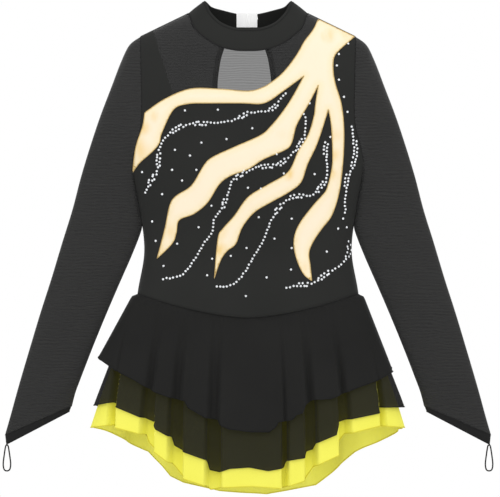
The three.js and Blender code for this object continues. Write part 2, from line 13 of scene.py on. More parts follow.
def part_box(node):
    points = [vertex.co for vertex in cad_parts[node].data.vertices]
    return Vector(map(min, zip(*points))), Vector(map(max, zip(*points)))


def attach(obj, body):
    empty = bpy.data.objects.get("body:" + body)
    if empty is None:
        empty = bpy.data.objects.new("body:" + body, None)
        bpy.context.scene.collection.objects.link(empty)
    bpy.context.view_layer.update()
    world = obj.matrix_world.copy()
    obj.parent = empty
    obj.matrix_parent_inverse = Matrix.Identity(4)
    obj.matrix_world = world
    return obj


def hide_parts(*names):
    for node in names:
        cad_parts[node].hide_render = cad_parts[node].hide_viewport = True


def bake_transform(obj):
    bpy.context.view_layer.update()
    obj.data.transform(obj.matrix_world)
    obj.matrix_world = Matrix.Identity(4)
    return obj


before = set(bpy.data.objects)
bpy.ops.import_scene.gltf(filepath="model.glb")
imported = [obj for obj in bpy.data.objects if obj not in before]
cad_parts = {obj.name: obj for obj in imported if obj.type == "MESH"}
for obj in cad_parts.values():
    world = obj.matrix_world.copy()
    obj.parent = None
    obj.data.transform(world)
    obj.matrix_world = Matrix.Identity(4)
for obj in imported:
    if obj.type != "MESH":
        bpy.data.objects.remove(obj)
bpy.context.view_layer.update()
MM = 0.001

# ---- garment sizes, as in the frame ----
SHOULDER_HALF, SHOULDER_TIP_Z = 150, -12
NECK_HALF, NECK_SHOULDER_Z = 84, 20
UNDERARM_HALF, UNDERARM_Z = 163, -204
YOKE_HALF = 178
WAIST_HALF, WAIST_Z = 144.5, -310
HIP_HALF, HIP_Z = 154, -372
NECK_DEPTH, CHEST_DEPTH, WAIST_DEPTH, HIP_DEPTH = 34, 44, 36, 44
SECTION_POWER = 2.6
SHOULDER_ROLL, SHOULDER_RISE = 70, 15
SEAM_DIP_FRONT, SEAM_DIP_BACK = 33, 20
BACK_YOKE_Z = -150
COLLAR_TOP_HALF, COLLAR_TOP_Z = 61, 38
COLLAR_TOP_FRONT_Y, COLLAR_TOP_BACK_Y = 30, 22
COLLAR_GAP_X = 17
CLOTH = 0.9  # thickness of the opaque knit
FRONT, BACK = -1, 1
SEAT_ROUNDS = 6  # how often an edge whose height and width depend on each other is worked out
YOKE_TUCK = 1.5  # how far the yoke's lower edge runs under the bodice's
RIM_STEPS = 160  # steps round the keyhole
SEAM_CORD, FINE_SEAM, TOP_STITCH, BINDING_CORD = 0.7, 0.6, 0.35, 1.3  # radii


# ---- numbers ----
def lerp(a, b, t):
    return a + (b - a) * t


def clamp(t, low=0.0, high=1.0):
    return max(low, min(high, t))


def smooth(t):
    t = clamp(t)
    return t * t * (3 - 2 * t)


def profile(stations):
    """A smooth value along (position, value) stations, level beyond its ends."""
    knots = sorted(stations)

    def slope(i):
        before, after = knots[max(i - 1, 0)], knots[min(i + 1, len(knots) - 1)]
        if (knots[i][1] - before[1]) * (after[1] - knots[i][1]) <= 0:
            return 0
        return (after[1] - before[1]) / (after[0] - before[0])

    def value(at):
        t = clamp(at, knots[0][0], knots[-1][0])
        i = 0
        while i < len(knots) - 2 and t > knots[i + 1][0]:
            i += 1
        (t0, v0), (t1, v1) = knots[i], knots[i + 1]
        span = t1 - t0
        k = (t - t0) / span
        rise = 3 * k**2 - 2 * k**3
        bend = slope(i) * (k**3 - 2 * k**2 + k) + slope(i + 1) * (k**3 - k**2)
        return v0 * (1 - rise) + v1 * rise + span * bend

    return value


def through(points, steps=6):
    """A smooth line through a list of points, as a longer list of points."""
    points = [Vector(p) for p in points]
    line = []
    for i in range(len(points) - 1):
        a, b = points[max(i - 1, 0)], points[i]
        c, d = points[i + 1], points[min(i + 2, len(points) - 1)]
        for k in range(steps):
            t = k / steps
            line.append(0.5 * (2 * b + (c - a) * t + (2 * a - 5 * b + 4 * c - d) * t * t
                               + (3 * b - a - 3 * c + d) * t**3))
    line.append(points[-1])
    return line


def evenly(line, count):
    """The same line with its points spaced evenly along it."""
    reach = [0.0]
    for a, b in zip(line, line[1:]):
        reach.append(reach[-1] + (b - a).length)
    result, i = [], 0
    for k in range(count):
        at = reach[-1] * k / (count - 1)
        while i < len(line) - 2 and reach[i + 1] < at:
            i += 1
        span = reach[i + 1] - reach[i]
        result.append(line[i].lerp(line[i + 1], (at - reach[i]) / span if span else 0))
    return result


# ---- the body's surface ----
body_half = profile([(HIP_Z - 50, HIP_HALF + 4), (HIP_Z, HIP_HALF), (WAIST_Z, WAIST_HALF),
                     (-240, 154), (UNDERARM_Z, UNDERARM_HALF), (-165, 172), (-120, YOKE_HALF),
                     (40, YOKE_HALF)])
body_depth = profile([(HIP_Z - 50, HIP_DEPTH + 3), (HIP_Z, HIP_DEPTH), (WAIST_Z, WAIST_DEPTH),
                      (-170, CHEST_DEPTH), (-100, CHEST_DEPTH - 2), (-33, NECK_DEPTH),
                      (40, NECK_DEPTH)])
armhole = profile([(UNDERARM_Z, UNDERARM_HALF), (-190, UNDERARM_HALF - 1), (-165, 157),
                   (-140, 150), (-110, 148), (-60, 149), (SHOULDER_TIP_Z, SHOULDER_HALF)])


def panel_half(z):
    return armhole(z) if z > UNDERARM_Z else body_half(z)


def section(share):
    return (1 - min(abs(share), 1) ** SECTION_POWER) ** (1 / SECTION_POWER)


def shoulder_line(x):
    side = abs(x)
    if side < NECK_HALF:
        return NECK_SHOULDER_Z + SHOULDER_RISE * (1 - (side / NECK_HALF) ** 2)
    fall = (NECK_SHOULDER_Z - SHOULDER_TIP_Z) / (SHOULDER_HALF - NECK_HALF)
    return NECK_SHOULDER_Z - fall * (side - NECK_HALF)


def depth_at(x, z):
    roll = clamp((shoulder_line(x) - z) / SHOULDER_ROLL)
    return body_depth(z) * section(x / body_half(z)) * math.sqrt(1 - (1 - roll) ** 2)


def on_body(x, z, side=FRONT, lift=0.0):
    """A place on the body, lifted off it by a few tenths along the body's own normal."""
    base = Vector((x, side * depth_at(x, z), z))
    if not lift:
        return base
    step = 2.0
    along = Vector((x + step, side * depth_at(x + step, z), z)) - base
    down = Vector((x, side * depth_at(x, z - step), z - step)) - base
    normal = along.cross(down).normalized()
    if normal.y * side < 0:
        normal.negate()
    return base + normal * lift


def skirt_seam(x, side):
    dip = SEAM_DIP_FRONT if side < 0 else SEAM_DIP_BACK
    return HIP_Z - dip * (1 - min(abs(x) / HIP_HALF, 1) ** 1.6)


def spread(s):
    """Bunches columns at the side seams, where the body curves most."""
    return math.copysign(abs(math.sin(s * math.pi / 2)) ** (2 / SECTION_POWER), s)


bodice_edge = profile([(-UNDERARM_HALF, -184), (-150, -150), (-130, -113), (-100, -98),
                       (-65, -90), (0, -93), (20, -88), (35, -80), (59, -58), (79, -27),
                       (91, -9), (97, 2), (100, 30)])
collar_seam = {
    FRONT: profile([(0, -33), (20, -32), (42, -26), (61, -14), (77, 2),
                    (NECK_HALF, NECK_SHOULDER_Z)]),
    BACK: profile([(0, -12), (20, -10.5), (42, -3), (61, 5), (77, 14),
                   (NECK_HALF, NECK_SHOULDER_Z)]),
}
collar_top = {
    FRONT: profile([(0, -1), (18, 0), (38, 8), (52, 22), (COLLAR_TOP_HALF, COLLAR_TOP_Z)]),
    BACK: profile([(0, 19), (15, 20.5), (38, 26), (51, 30), (COLLAR_TOP_HALF, COLLAR_TOP_Z)]),
}


def panel_top(x, side):
    return collar_seam[side](abs(x)) if abs(x) < NECK_HALF else shoulder_line(x)


# ---- meshes ----
def finish_mesh(bm, name, material, soften=True):
    """Turns a bmesh in millimetres into an object in metres."""
    bmesh.ops.scale(bm, vec=(MM, MM, MM), verts=bm.verts)
    mesh = bpy.data.meshes.new(name)
    bm.to_mesh(mesh)
    bm.free()
    piece = bpy.data.objects.new(name, mesh)
    bpy.context.scene.collection.objects.link(piece)
    mesh.materials.append(material)
    if soften:
        mesh.polygons.foreach_set("use_smooth", [True] * len(mesh.polygons))
    return piece


def cloth_grid(name, columns, rows, place, material, closed=False, outward=None):
    """A sheet made from a flat grid; place(u, v) says where each of its points goes."""
    bm = bmesh.new()
    bmesh.ops.create_grid(bm, x_segments=columns, y_segments=rows, size=0.5)
    for vert in bm.verts:
        vert.co = place(vert.co.x + 0.5, vert.co.y + 0.5)
    if closed:
        bmesh.ops.remove_doubles(bm, verts=bm.verts, dist=0.01)
    bm.faces.ensure_lookup_table()
    middle = bm.faces[len(bm.faces) // 2]
    middle.normal_update()
    toward = outward(middle.calc_center_median()) if outward else Vector((0, -1, 0))
    if middle.normal.dot(toward) < 0:
        bmesh.ops.reverse_faces(bm, faces=bm.faces)
    return finish_mesh(bm, name, material)


def thicken(piece, thickness=CLOTH):
    wall = piece.modifiers.new("wall", "SOLIDIFY")
    wall.thickness = thickness * MM
    wall.offset = -1


def tube(name, line, radius, material, sides=8, closed=False):
    """A round cord or rolled hem along a list of points."""
    points = [Vector(p) for p in line]
    count = len(points)
    bm = bmesh.new()
    rings = []
    for i, p in enumerate(points):
        if closed:
            along = points[(i + 1) % count] - points[i - 1]
        else:
            along = points[min(i + 1, count - 1)] - points[max(i - 1, 0)]
        turn = along.to_track_quat("Z", "Y").to_matrix().to_4x4()
        ring = bmesh.ops.create_circle(bm, segments=sides, radius=radius,
                                       matrix=Matrix.Translation(p) @ turn)["verts"]
        rings.append(ring)
    pairs = list(zip(rings, rings[1:])) + ([(rings[-1], rings[0])] if closed else [])
    for near, far in pairs:
        best = min(range(sides), key=lambda k: (far[k].co - near[0].co).length)
        for k in range(sides):
            n = (k + 1) % sides
            bm.faces.new((near[k], near[n], far[(n + best) % sides], far[(k + best) % sides]))
    if not closed:
        bm.faces.new(rings[0])
        bm.faces.new(rings[-1])
    bmesh.ops.recalc_face_normals(bm, faces=bm.faces)
    return finish_mesh(bm, name, material)


# ---- shader nodes ----
class Sum:
    """A socket that Python arithmetic can be written on."""

    def __init__(self, nodes, socket):
        self.nodes, self.socket = nodes, socket

    def _math(self, operation, a, b=None):
        return self.nodes.node("ShaderNodeMath", {"operation": operation}, {0: a, 1: b})

    def __add__(self, other): return self._math("ADD", self, other)
    def __radd__(self, other): return self._math("ADD", other, self)
    def __sub__(self, other): return self._math("SUBTRACT", self, other)
    def __mul__(self, other): return self._math("MULTIPLY", self, other)
    def sine(self): return self._math("SINE", self)


class Finish:
    """A material and the nodes that make it."""

    def __init__(self, name, **constants):
        self.material = bpy.data.materials.new(name)
        self.material.use_nodes = True
        self.tree = self.material.node_tree
        self.shader = self.tree.nodes["Principled BSDF"]
        for socket, value in constants.items():
            self.shader.inputs[socket.replace("_", " ")].default_value = value
        self.place = self.node("ShaderNodeTexCoord", {}, {}, "Object")
        parts = self.tree.nodes.new("ShaderNodeSeparateXYZ")
        self.tree.links.new(self.place.socket, parts.inputs[0])
        self.x, self.y, self.z = (Sum(self, parts.outputs[i]) for i in range(3))

    def node(self, kind, settings, values, output=0):
        made = self.tree.nodes.new(kind)
        for key, value in settings.items():
            if key == "stops":
                ramp = made.color_ramp
                while len(ramp.elements) < len(value):
                    ramp.elements.new(0.5)
                for element, (at, colour) in zip(ramp.elements, value):
                    element.position = at
                    element.color = (*colour, 1)
            else:
                setattr(made, key, value)
        for key, value in values.items():
            if isinstance(value, Sum):
                self.tree.links.new(value.socket, made.inputs[key])
            elif value is not None:
                made.inputs[key].default_value = value
        return Sum(self, made.outputs[output])

    def noise(self, scale, detail=2.0, stretch=(1, 1, 1)):
        spot = self.node("ShaderNodeMapping", {}, {"Vector": self.place, "Scale": stretch})
        return self.node("ShaderNodeTexNoise", {}, {"Vector": spot, "Scale": scale,
                                                    "Detail": detail})

    def tint(self, amount, dark, light):
        return self.node("ShaderNodeMix", {"data_type": "RGBA"},
                         {0: amount, 6: (*dark, 1), 7: (*light, 1)}, 2)

    def feed(self, **links):
        for socket, value in links.items():
            self.tree.links.new(value.socket, self.shader.inputs[socket.replace("_", " ")])
        return self

    def bump(self, height, distance, strength=1.0):
        lifted = self.node("ShaderNodeBump", {}, {"Height": height, "Distance": distance,
                                                  "Strength": strength})
        return self.feed(Normal=lifted)


def knit(name, dark, light, pitch=0.9, roughness=0.8, sheen=0.04):
    """Fine stretch knit: rows of stitches, with a slow change of tone."""
    cloth = Finish(name, Roughness=roughness, Sheen_Weight=sheen, Specular_IOR_Level=0.15)
    turn = math.tau / (pitch * MM)
    stitches = (cloth.x * turn).sine() * (cloth.z * turn).sine()
    patches = cloth.noise(9.0, 3.0)
    cloth.feed(Base_Color=cloth.tint(patches + stitches * 0.12, dark, light))
    cloth.feed(Roughness=roughness + patches * 0.1)
    return cloth.bump(stitches, 0.00008, 0.5).material


def sheer(name, dark, light, alpha, ripple_pitch, ripple_alpha, roughness=0.6):
    """See-through mesh whose threads make fine wavy bands."""
    cloth = Finish(name, Roughness=roughness, Sheen_Weight=0.15, Specular_IOR_Level=0.2)
    wander = cloth.noise(24.0, 3.0, (1, 1, 2.2))
    bands = (cloth.z * (math.tau / (ripple_pitch * MM)) + wander * 14.0).sine()
    broken = cloth.noise(90.0, 2.0, (0.4, 1, 1))
    amount = bands * broken
    cloth.feed(Base_Color=cloth.tint(amount * 0.5 + 0.5, dark, light))
    cloth.feed(Alpha=alpha + amount * ripple_alpha)
    return cloth.bump(amount, 0.0003, 0.4).material


def chiffon(name, dark, light, alpha, painted_glow=0.0):
    """Crisp crepe chiffon: a grainy, faintly uneven see-through cloth. Any emission is painted
    light:
    the cloth shines in its own colour, standing in for light that passes through bright cloth."""
    cloth = Finish(name, Roughness=0.8, Sheen_Weight=0.03, Specular_IOR_Level=0.12)
    grain = cloth.noise(1400.0, 1.0)
    drift = cloth.noise(14.0, 3.0)
    dye_and_glow = cloth.tint(drift * 0.7 + grain * 0.3, dark, light)
    cloth.feed(Base_Color=dye_and_glow, Alpha=alpha + (grain - 0.5) * 0.12)
    # Painted light: emission in the cloth's own colour.
    if painted_glow:
        cloth.feed(Emission_Color=dye_and_glow)
        cloth.shader.inputs["Emission Strength"].default_value = painted_glow
    return cloth.bump(grain, 0.00012, 0.5).material


# ---- finishes ----
BLACK_KNIT = knit("bodice_knit", (0.015, 0.0155, 0.0145), (0.024, 0.0245, 0.023))
BRIEF_KNIT = knit("brief_knit", (0.006, 0.006, 0.006), (0.014, 0.014, 0.014), pitch=1.1)
TRIM = knit("trim_elastic", (0.009, 0.009, 0.009), (0.017, 0.017, 0.017), pitch=0.6)
MESH_DARK, MESH_LIGHT = (0.008, 0.008, 0.008), (0.018, 0.018, 0.0175)
FRONT_MESH = sheer("front_yoke_mesh", MESH_DARK, MESH_LIGHT, alpha=0.78, ripple_pitch=3.4,
                   ripple_alpha=0.06)
BACK_MESH = sheer("back_yoke_mesh", MESH_DARK, MESH_LIGHT, alpha=0.95, ripple_pitch=3.9,
                  ripple_alpha=0.03)
SLEEVE_MESH = sheer("sleeve_mesh", (0.007, 0.007, 0.007), (0.020, 0.020, 0.019), alpha=0.92,
                    ripple_pitch=4.5, ripple_alpha=0.035)
TOP_CHIFFON = chiffon("top_tier_chiffon", (0.010, 0.010, 0.0097), (0.017, 0.017, 0.0163),
                      alpha=0.985)
MIDDLE_CHIFFON = chiffon("middle_tier_chiffon", (0.008, 0.008, 0.0077), (0.014, 0.014, 0.0135),
                         alpha=0.915)
# The yellow tier's emission is painted light, brightening it where the black tiers shade it.
YELLOW_CHIFFON = chiffon("yellow_tier_chiffon", (0.76, 0.73, 0.07), (0.88, 0.85, 0.14),
                         alpha=0.985, painted_glow=0.11)
BLACK_HEM = knit("rolled_hem_black", (0.005, 0.005, 0.005), (0.014, 0.014, 0.014), pitch=0.5)
YELLOW_HEM = knit("rolled_hem_yellow", (0.66, 0.58, 0.03), (0.84, 0.77, 0.08), pitch=0.5)


def foil_cloth():
    """Cream foil, dark gold on its stitched rim; warm gold near the edge and in patches is painted
    shade.
    """
    foil = Finish("flame_foil", Roughness=0.5, Sheen_Weight=0.1, Specular_IOR_Level=0.35)
    edge = foil.node("ShaderNodeAttribute", {"attribute_name": "edge"}, {}, "Fac")
    drift = foil.noise(16.0, 3.0)
    # From the rim inwards: dark gold thread colour, then a warm gold band of painted shade, then
    # cream.
    ramp = foil.node("ShaderNodeValToRGB", {"stops": [
        (0.0, (0.50, 0.33, 0.09)), (0.035, (0.80, 0.60, 0.26)), (0.08, (0.90, 0.74, 0.44)),
        (0.17, (0.93, 0.79, 0.53)), (0.85, (0.95, 0.82, 0.62))]},
        {"Fac": edge + (drift - 0.5) * 0.5 * edge})
    # Painted shade: listed patches turn the cream foil darker gold, broken into streaks.
    gold_shade_mask = foil.node("ShaderNodeAttribute", {"attribute_name": "gilt"}, {}, "Fac")
    streaks = foil.node("ShaderNodeMapRange", {}, {"Value": foil.noise(55.0, 3.0, (1, 1, 0.25)),
                                                   "From Min": 0.42, "From Max": 0.66})
    patches = gold_shade_mask * (streaks * 0.85 + 0.1)
    gilt = foil.node("ShaderNodeMix", {"data_type": "RGBA"},
                     {0: patches, 6: ramp, 7: (0.88, 0.62, 0.24, 1)}, 2)
    foil.feed(Base_Color=gilt)
    creases = foil.noise(60.0, 4.0, (1, 1, 0.5))
    foil.feed(Roughness=0.38 + creases * 0.22)
    return foil.bump(creases, 0.0012, 0.5).material


def satin_stitch():
    """Close satin stitches in dark gold thread."""
    thread = Finish("flame_stitching", Roughness=0.5, Sheen_Weight=0.3)
    stitch_pitch = 0.7
    rows = ((thread.x + thread.z) * (math.tau / (stitch_pitch * MM))).sine()
    thread.feed(Base_Color=thread.tint(rows * 0.5 + 0.5, (0.42, 0.28, 0.08), (0.74, 0.53, 0.20)))
    return thread.bump(rows, 0.0001, 0.6).material


def crystal_glass():
    """Cut glass backed with foil, so that it mirrors the room."""
    glass = Finish("crystal", Metallic=0.35, Roughness=0.12)
    cloud = glass.noise(900.0, 1.0)
    glass.feed(Base_Color=glass.tint(cloud, (0.82, 0.86, 0.92), (1.0, 1.0, 1.0)))
    glass.feed(Roughness=0.06 + cloud * 0.12)
    return glass.material


def snap_metal():
    """Nickel plate with faint turning marks."""
    plate = Finish("snap_nickel", Metallic=1.0, Roughness=0.3)
    marks = plate.noise(700.0, 2.0, (1, 1, 0.1))
    plate.feed(Base_Color=plate.tint(marks, (0.50, 0.50, 0.50), (0.72, 0.71, 0.69)))
    plate.feed(Roughness=0.22 + marks * 0.2)
    return plate.material


def label_satin():
    """Blank white woven label: fine ribs across it, and a little painted light that keeps it
    bright.
    """
    satin = Finish("label_satin", Roughness=0.45, Sheen_Weight=0.2)
    rib_pitch = 0.5
    ribs = (satin.z * (math.tau / (rib_pitch * MM))).sine()
    white = satin.tint(satin.noise(60.0) + ribs * 0.1, (0.90, 0.90, 0.89), (0.97, 0.97, 0.97))
    # Painted light: the label glows in its own colour, so it stays bright in the collar's shade.
    satin.feed(Base_Color=white, Emission_Color=white)
    satin.shader.inputs["Emission Strength"].default_value = 0.4
    return satin.bump(ribs, 0.00005, 0.5).material


FOIL, STITCH, CRYSTAL = foil_cloth(), satin_stitch(), crystal_glass()
NICKEL, LABEL = snap_metal(), label_satin()


def settle(piece, body, nodes=(), slot=None):
    """Says which body a piece rides on and which node it stands for; slot is not used."""
    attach(piece, body)
    if nodes:
        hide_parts(*nodes)


# ---- bodice and yokes ----
def panel_place(side, bottom, top):
    """A body panel: u runs across from seam to seam, v up from its lower edge."""
    def place(u, v):
        s = spread(2 * u - 1)
        z = bottom(0)
        for _ in range(SEAT_ROUNDS):
            x = s * panel_half(z)
            z = lerp(bottom(x), top(x), 1 - (1 - v) ** 1.5)
        x = s * panel_half(z)
        return on_body(x, z, side)
    return place


def front_edge(x):
    """Upper edge of the opaque front: under the first flame, then up to the shoulder."""
    return min(bodice_edge(x), panel_top(x, FRONT))


def bodice():
    front = cloth_grid("bodice_front_cloth", 150, 110,
                       panel_place(FRONT, lambda x: skirt_seam(x, FRONT), front_edge), BLACK_KNIT)
    back = cloth_grid("bodice_back_cloth", 120, 60,
                      panel_place(BACK, lambda x: skirt_seam(x, BACK), lambda x: BACK_YOKE_Z),
                      BLACK_KNIT, outward=lambda p: Vector((0, 1, 0)))
    for piece, node in ((front, "bodice_front"), (back, "bodice_back")):
        thicken(piece)
        settle(piece, "garment", [node], "bodice_cloth")


def front_yoke():
    right = 97

    def place(u, v):
        z = x = 0
        for _ in range(SEAT_ROUNDS):
            x = lerp(-armhole(z), right, u)
            z = lerp(bodice_edge(x) - YOKE_TUCK, panel_top(x, FRONT), 1 - (1 - v) ** 1.6)
        p = on_body(x, z, FRONT)
        p.y += 1.4 * (1 - smooth(v / 0.08))
        return p

    piece = cloth_grid("yoke_front_mesh", 120, 60, place, FRONT_MESH)
    settle(piece, "garment", ["yoke_front"], "sheer_mesh")


KEYHOLE_X = -5
KEYHOLE_SIDE = [(22, collar_seam[BACK](22)), (34, -42), (39, -86), (32, -118), (0, -140)]
KEYHOLE = evenly(through(
    [(KEYHOLE_X - half, 0, z) for half, z in KEYHOLE_SIDE]
    + [(KEYHOLE_X + half, 0, z) for half, z in reversed(KEYHOLE_SIDE[:-1])]), RIM_STEPS + 1)


def back_yoke():
    left = [(-NECK_HALF, 0, NECK_SHOULDER_Z), (-SHOULDER_HALF, 0, SHOULDER_TIP_Z)]
    left += [(-armhole(z), 0, z) for z in range(-20, BACK_YOKE_Z - 1, -10)]
    rim = evenly([Vector(p) for p in left] + [Vector((-x, y, z)) for x, y, z in reversed(left)],
                 RIM_STEPS + 1)

    def place(u, v):
        i = round(u * RIM_STEPS)
        p = KEYHOLE[i].lerp(rim[i], 1 - (1 - v) ** 1.7)
        ends = max(1 - min(u, 1 - u) / 0.12, 0)
        seam = panel_top(p.x, BACK)
        return on_body(p.x, min(lerp(p.z, seam, ends), seam), BACK)

    piece = cloth_grid("yoke_back_mesh", RIM_STEPS, 36, place, BACK_MESH,
                       outward=lambda p: Vector((0, 1, 0)))
    settle(piece, "garment", ["yoke_back"], "sheer_mesh")


LINING_TOP_X, LINING_LEAN = -134, 0.31  # inner edge of the lining, and how it leans in going down
FACING_WIDTH = 6.5


def shoulder_lining():
    """Opaque band beside the left armhole, where the sheer yoke is doubled."""
    def place(u, v):
        z = 0
        for _ in range(SEAT_ROUNDS):
            x = lerp(-armhole(z), LINING_TOP_X - LINING_LEAN * z, u)
            z = lerp(bodice_edge(x) - YOKE_TUCK, shoulder_line(x), 1 - (1 - v) ** 1.6)
        return on_body(x, z, FRONT, 0.35)

    lining = cloth_grid("shoulder_lining_cloth", 20, 50, place, BLACK_KNIT)
    settle(lining, "garment", slot="bodice_cloth")


def keyhole_facing():
    """Flat facing inside the keyhole's edge."""
    def place(u, v):
        i = round(u * RIM_STEPS)
        along = KEYHOLE[min(i + 1, RIM_STEPS)] - KEYHOLE[max(i - 1, 0)]
        away = Vector((along.z, 0, -along.x)).normalized()
        p = KEYHOLE[i] + away * (v * FACING_WIDTH)
        return on_body(p.x, min(p.z, panel_top(p.x, BACK)), BACK, -0.45)

    facing = cloth_grid("keyhole_facing_cloth", RIM_STEPS, 3, place, BLACK_KNIT)
    settle(facing, "garment", slot="bodice_cloth")


def body_trims():
    """Seams and bindings: keyhole binding, back yoke seam, shoulder and side seams."""
    binding = tube("keyhole_binding_cord", [on_body(p.x, p.z, BACK, 0.2) for p in KEYHOLE[2:-2]],
                   BINDING_CORD, TRIM)
    settle(binding, "garment", ["keyhole_binding"], "trim")
    span = [armhole(BACK_YOKE_Z) * k / 40 for k in range(-39, 40)]
    settle(tube("back_yoke_seam", [on_body(x, BACK_YOKE_Z, BACK, 0.1) for x in span], SEAM_CORD,
                TRIM), "garment", slot="trim")
    for hand, name in ((-1, "left"), (1, "right")):
        shoulder = [hand * lerp(NECK_HALF, SHOULDER_HALF, k / 20) for k in range(21)]
        settle(tube(f"shoulder_seam_{name}",
                    [Vector((x, 0, shoulder_line(x) + 0.1)) for x in shoulder], SEAM_CORD, TRIM),
               "garment", slot="trim")
        side = [Vector((hand * (body_half(z) + 0.1), 0, z)) for z in range(HIP_Z, UNDERARM_Z, 6)]
        settle(tube(f"side_seam_{name}", side, FINE_SEAM, TRIM), "garment", slot="trim")


# ---- collar, label and closing tab ----
def on_collar(turn, rise, out=0.0):
    """A place on the collar: turn goes round it from the front, rise goes up it."""
    across = math.sin(turn)
    side = FRONT if math.cos(turn) > 0 else BACK
    top_y = COLLAR_TOP_FRONT_Y if side < 0 else COLLAR_TOP_BACK_Y
    low = on_body(across * NECK_HALF, collar_seam[side](abs(across) * NECK_HALF), side)
    high = Vector((across * COLLAR_TOP_HALF, -top_y * math.cos(turn),
                   collar_top[side](abs(across) * COLLAR_TOP_HALF)))
    p = low.lerp(high, rise)
    away = Vector((across * 0.5, -math.cos(turn), 0)).normalized()
    return p + away * (out + 0.8 * math.sin(math.pi * clamp(rise)))


def collar():
    gap = math.asin(COLLAR_GAP_X / NECK_HALF)
    slit = 0.006  # half of the opening at the back, as a turn
    first, last = -math.pi - gap + slit, math.pi - gap - slit

    def place(u, v):
        return on_collar(lerp(first, last, u), v)

    band = cloth_grid("collar_band", 220, 16, place, BLACK_KNIT,
                      outward=lambda p: Vector((p.x, p.y, 0)))
    thicken(band, 1.1)
    settle(band, "garment", ["collar"], "bodice_cloth")
    seam = [on_collar(lerp(first, last, k / 160), 0.02, 0.5) for k in range(161)]
    settle(tube("collar_seam", seam, 0.8, TRIM), "garment", slot="trim")
    stitch = [on_collar(lerp(first, last, k / 160), 0.9, 0.25) for k in range(161)]
    settle(tube("collar_top_stitch", stitch, TOP_STITCH, TRIM, sides=6), "garment", slot="trim")


CLOSURE_LOW, CLOSURE_HIGH = on_collar(math.pi, 0), on_collar(math.pi, 1)
CLOSURE_UP = (CLOSURE_HIGH - CLOSURE_LOW).normalized()
CLOSURE_OUT = Vector((1, 0, 0)).cross(CLOSURE_UP) * -1
if CLOSURE_OUT.y < 0:
    CLOSURE_OUT.negate()
CLOSURE_MIDDLE = Vector((0, 27, 3.5))
TAB_SEWN_X, TAB_LENGTH, TAB_WIDTH, TAB_LIFT, TAB_TILT = 20, 40, 18, 1.7, 0.075
TAB_THICKNESS, TAB_STITCH_INSET = 1.3, 1.8
SNAP_X = TAB_SEWN_X - TAB_LENGTH + TAB_WIDTH / 2  # both snaps, and the centre of the round end


def at_closure(x, out, up):
    """A place by the back opening: across it, out from the collar, and up the collar."""
    return CLOSURE_MIDDLE + Vector((x, 0, 0)) + CLOSURE_OUT * out + CLOSURE_UP * up


def rounded_tab(bm):
    """Outline of the tab: square where it is sewn, round at its free end."""
    half = TAB_WIDTH / 2
    outline = [(TAB_SEWN_X, -half), (TAB_SEWN_X, half)]
    outline += [(SNAP_X + half * math.cos(a), half * math.sin(a))
                for a in (math.pi * (0.5 + k / 16) for k in range(17))]
    verts = [bm.verts.new((x, 0, z)) for x, z in outline]
    return bm.faces.new(verts)


def closing_tab():
    bm = bmesh.new()
    face = rounded_tab(bm)
    solid = bmesh.ops.extrude_face_region(bm, geom=[face])["geom"]
    top = [g for g in solid if isinstance(g, bmesh.types.BMVert)]
    bmesh.ops.translate(bm, verts=top, vec=(0, TAB_THICKNESS, 0))
    rim = [e for e in bm.edges if abs(e.verts[0].co.y - e.verts[1].co.y) < 0.01]
    bmesh.ops.bevel(bm, geom=rim, offset=0.4, segments=2, affect="EDGES", profile=0.5, material=-1)
    bmesh.ops.recalc_face_normals(bm, faces=bm.faces)
    for vert in bm.verts:
        x, out, up = vert.co
        vert.co = at_closure(x, TAB_LIFT + out - x * TAB_TILT, up)
    settle(finish_mesh(bm, "collar_tab_cloth", BLACK_KNIT, soften=False), "collar_tab",
           ["collar_tab"], "bodice_cloth")
    half = TAB_WIDTH / 2 - TAB_STITCH_INSET
    run = [(TAB_SEWN_X - 1, -half)] + [(SNAP_X - half * math.sin(a), -half * math.cos(a))
                                       for a in (math.pi * k / 16 for k in range(17))]
    run += [(TAB_SEWN_X - 1, half)]
    above = TAB_LIFT + TAB_THICKNESS + 0.05
    stitch = evenly([at_closure(x, above - x * TAB_TILT, up) for x, up in run], 60)
    settle(tube("collar_tab_stitch", stitch, 0.3, TRIM, sides=6), "collar_tab", slot="trim")


def snap(level, up):
    """One press snap: a domed cap on the tab and a stud on the collar below it."""
    turn = Matrix((Vector((1, 0, 0)), CLOSURE_UP, CLOSURE_OUT)).transposed().to_4x4()
    cap_at = at_closure(SNAP_X, TAB_LIFT - SNAP_X * TAB_TILT + 1.6, up)
    bm = bmesh.new()
    bmesh.ops.create_cone(bm, cap_ends=True, segments=32, radius1=4, radius2=4, depth=0.9,
                          matrix=Matrix.Translation(cap_at + CLOSURE_OUT * 0.45) @ turn)
    rim = [e for e in bm.edges if any(len(f.verts) > 4 for f in e.link_faces)]
    bmesh.ops.bevel(bm, geom=rim, offset=0.35, segments=3, affect="EDGES", profile=0.5,
                    material=-1)
    dome = max(bm.faces, key=lambda f: f.calc_center_median().dot(CLOSURE_OUT))
    bmesh.ops.inset_region(bm, faces=[dome], thickness=0.9, depth=-0.25)
    bmesh.ops.recalc_face_normals(bm, faces=bm.faces)
    settle(finish_mesh(bm, f"snap_cap_{level}_metal", NICKEL), "collar_tab",
           [f"snap_cap_{level}"], "snap_metal")
    stud_at = at_closure(SNAP_X, 0.8, up)
    bm = bmesh.new()
    bmesh.ops.create_cone(bm, cap_ends=True, segments=24, radius1=1.7, radius2=1.4, depth=1.1,
                          matrix=Matrix.Translation(stud_at) @ turn)
    bmesh.ops.create_cone(bm, cap_ends=True, segments=24, radius1=3.4, radius2=3.2, depth=0.4,
                          matrix=Matrix.Translation(stud_at - CLOSURE_OUT * 0.75) @ turn)
    settle(finish_mesh(bm, f"snap_stud_{level}_metal", NICKEL), "garment",
           [f"snap_stud_{level}"], "snap_metal")


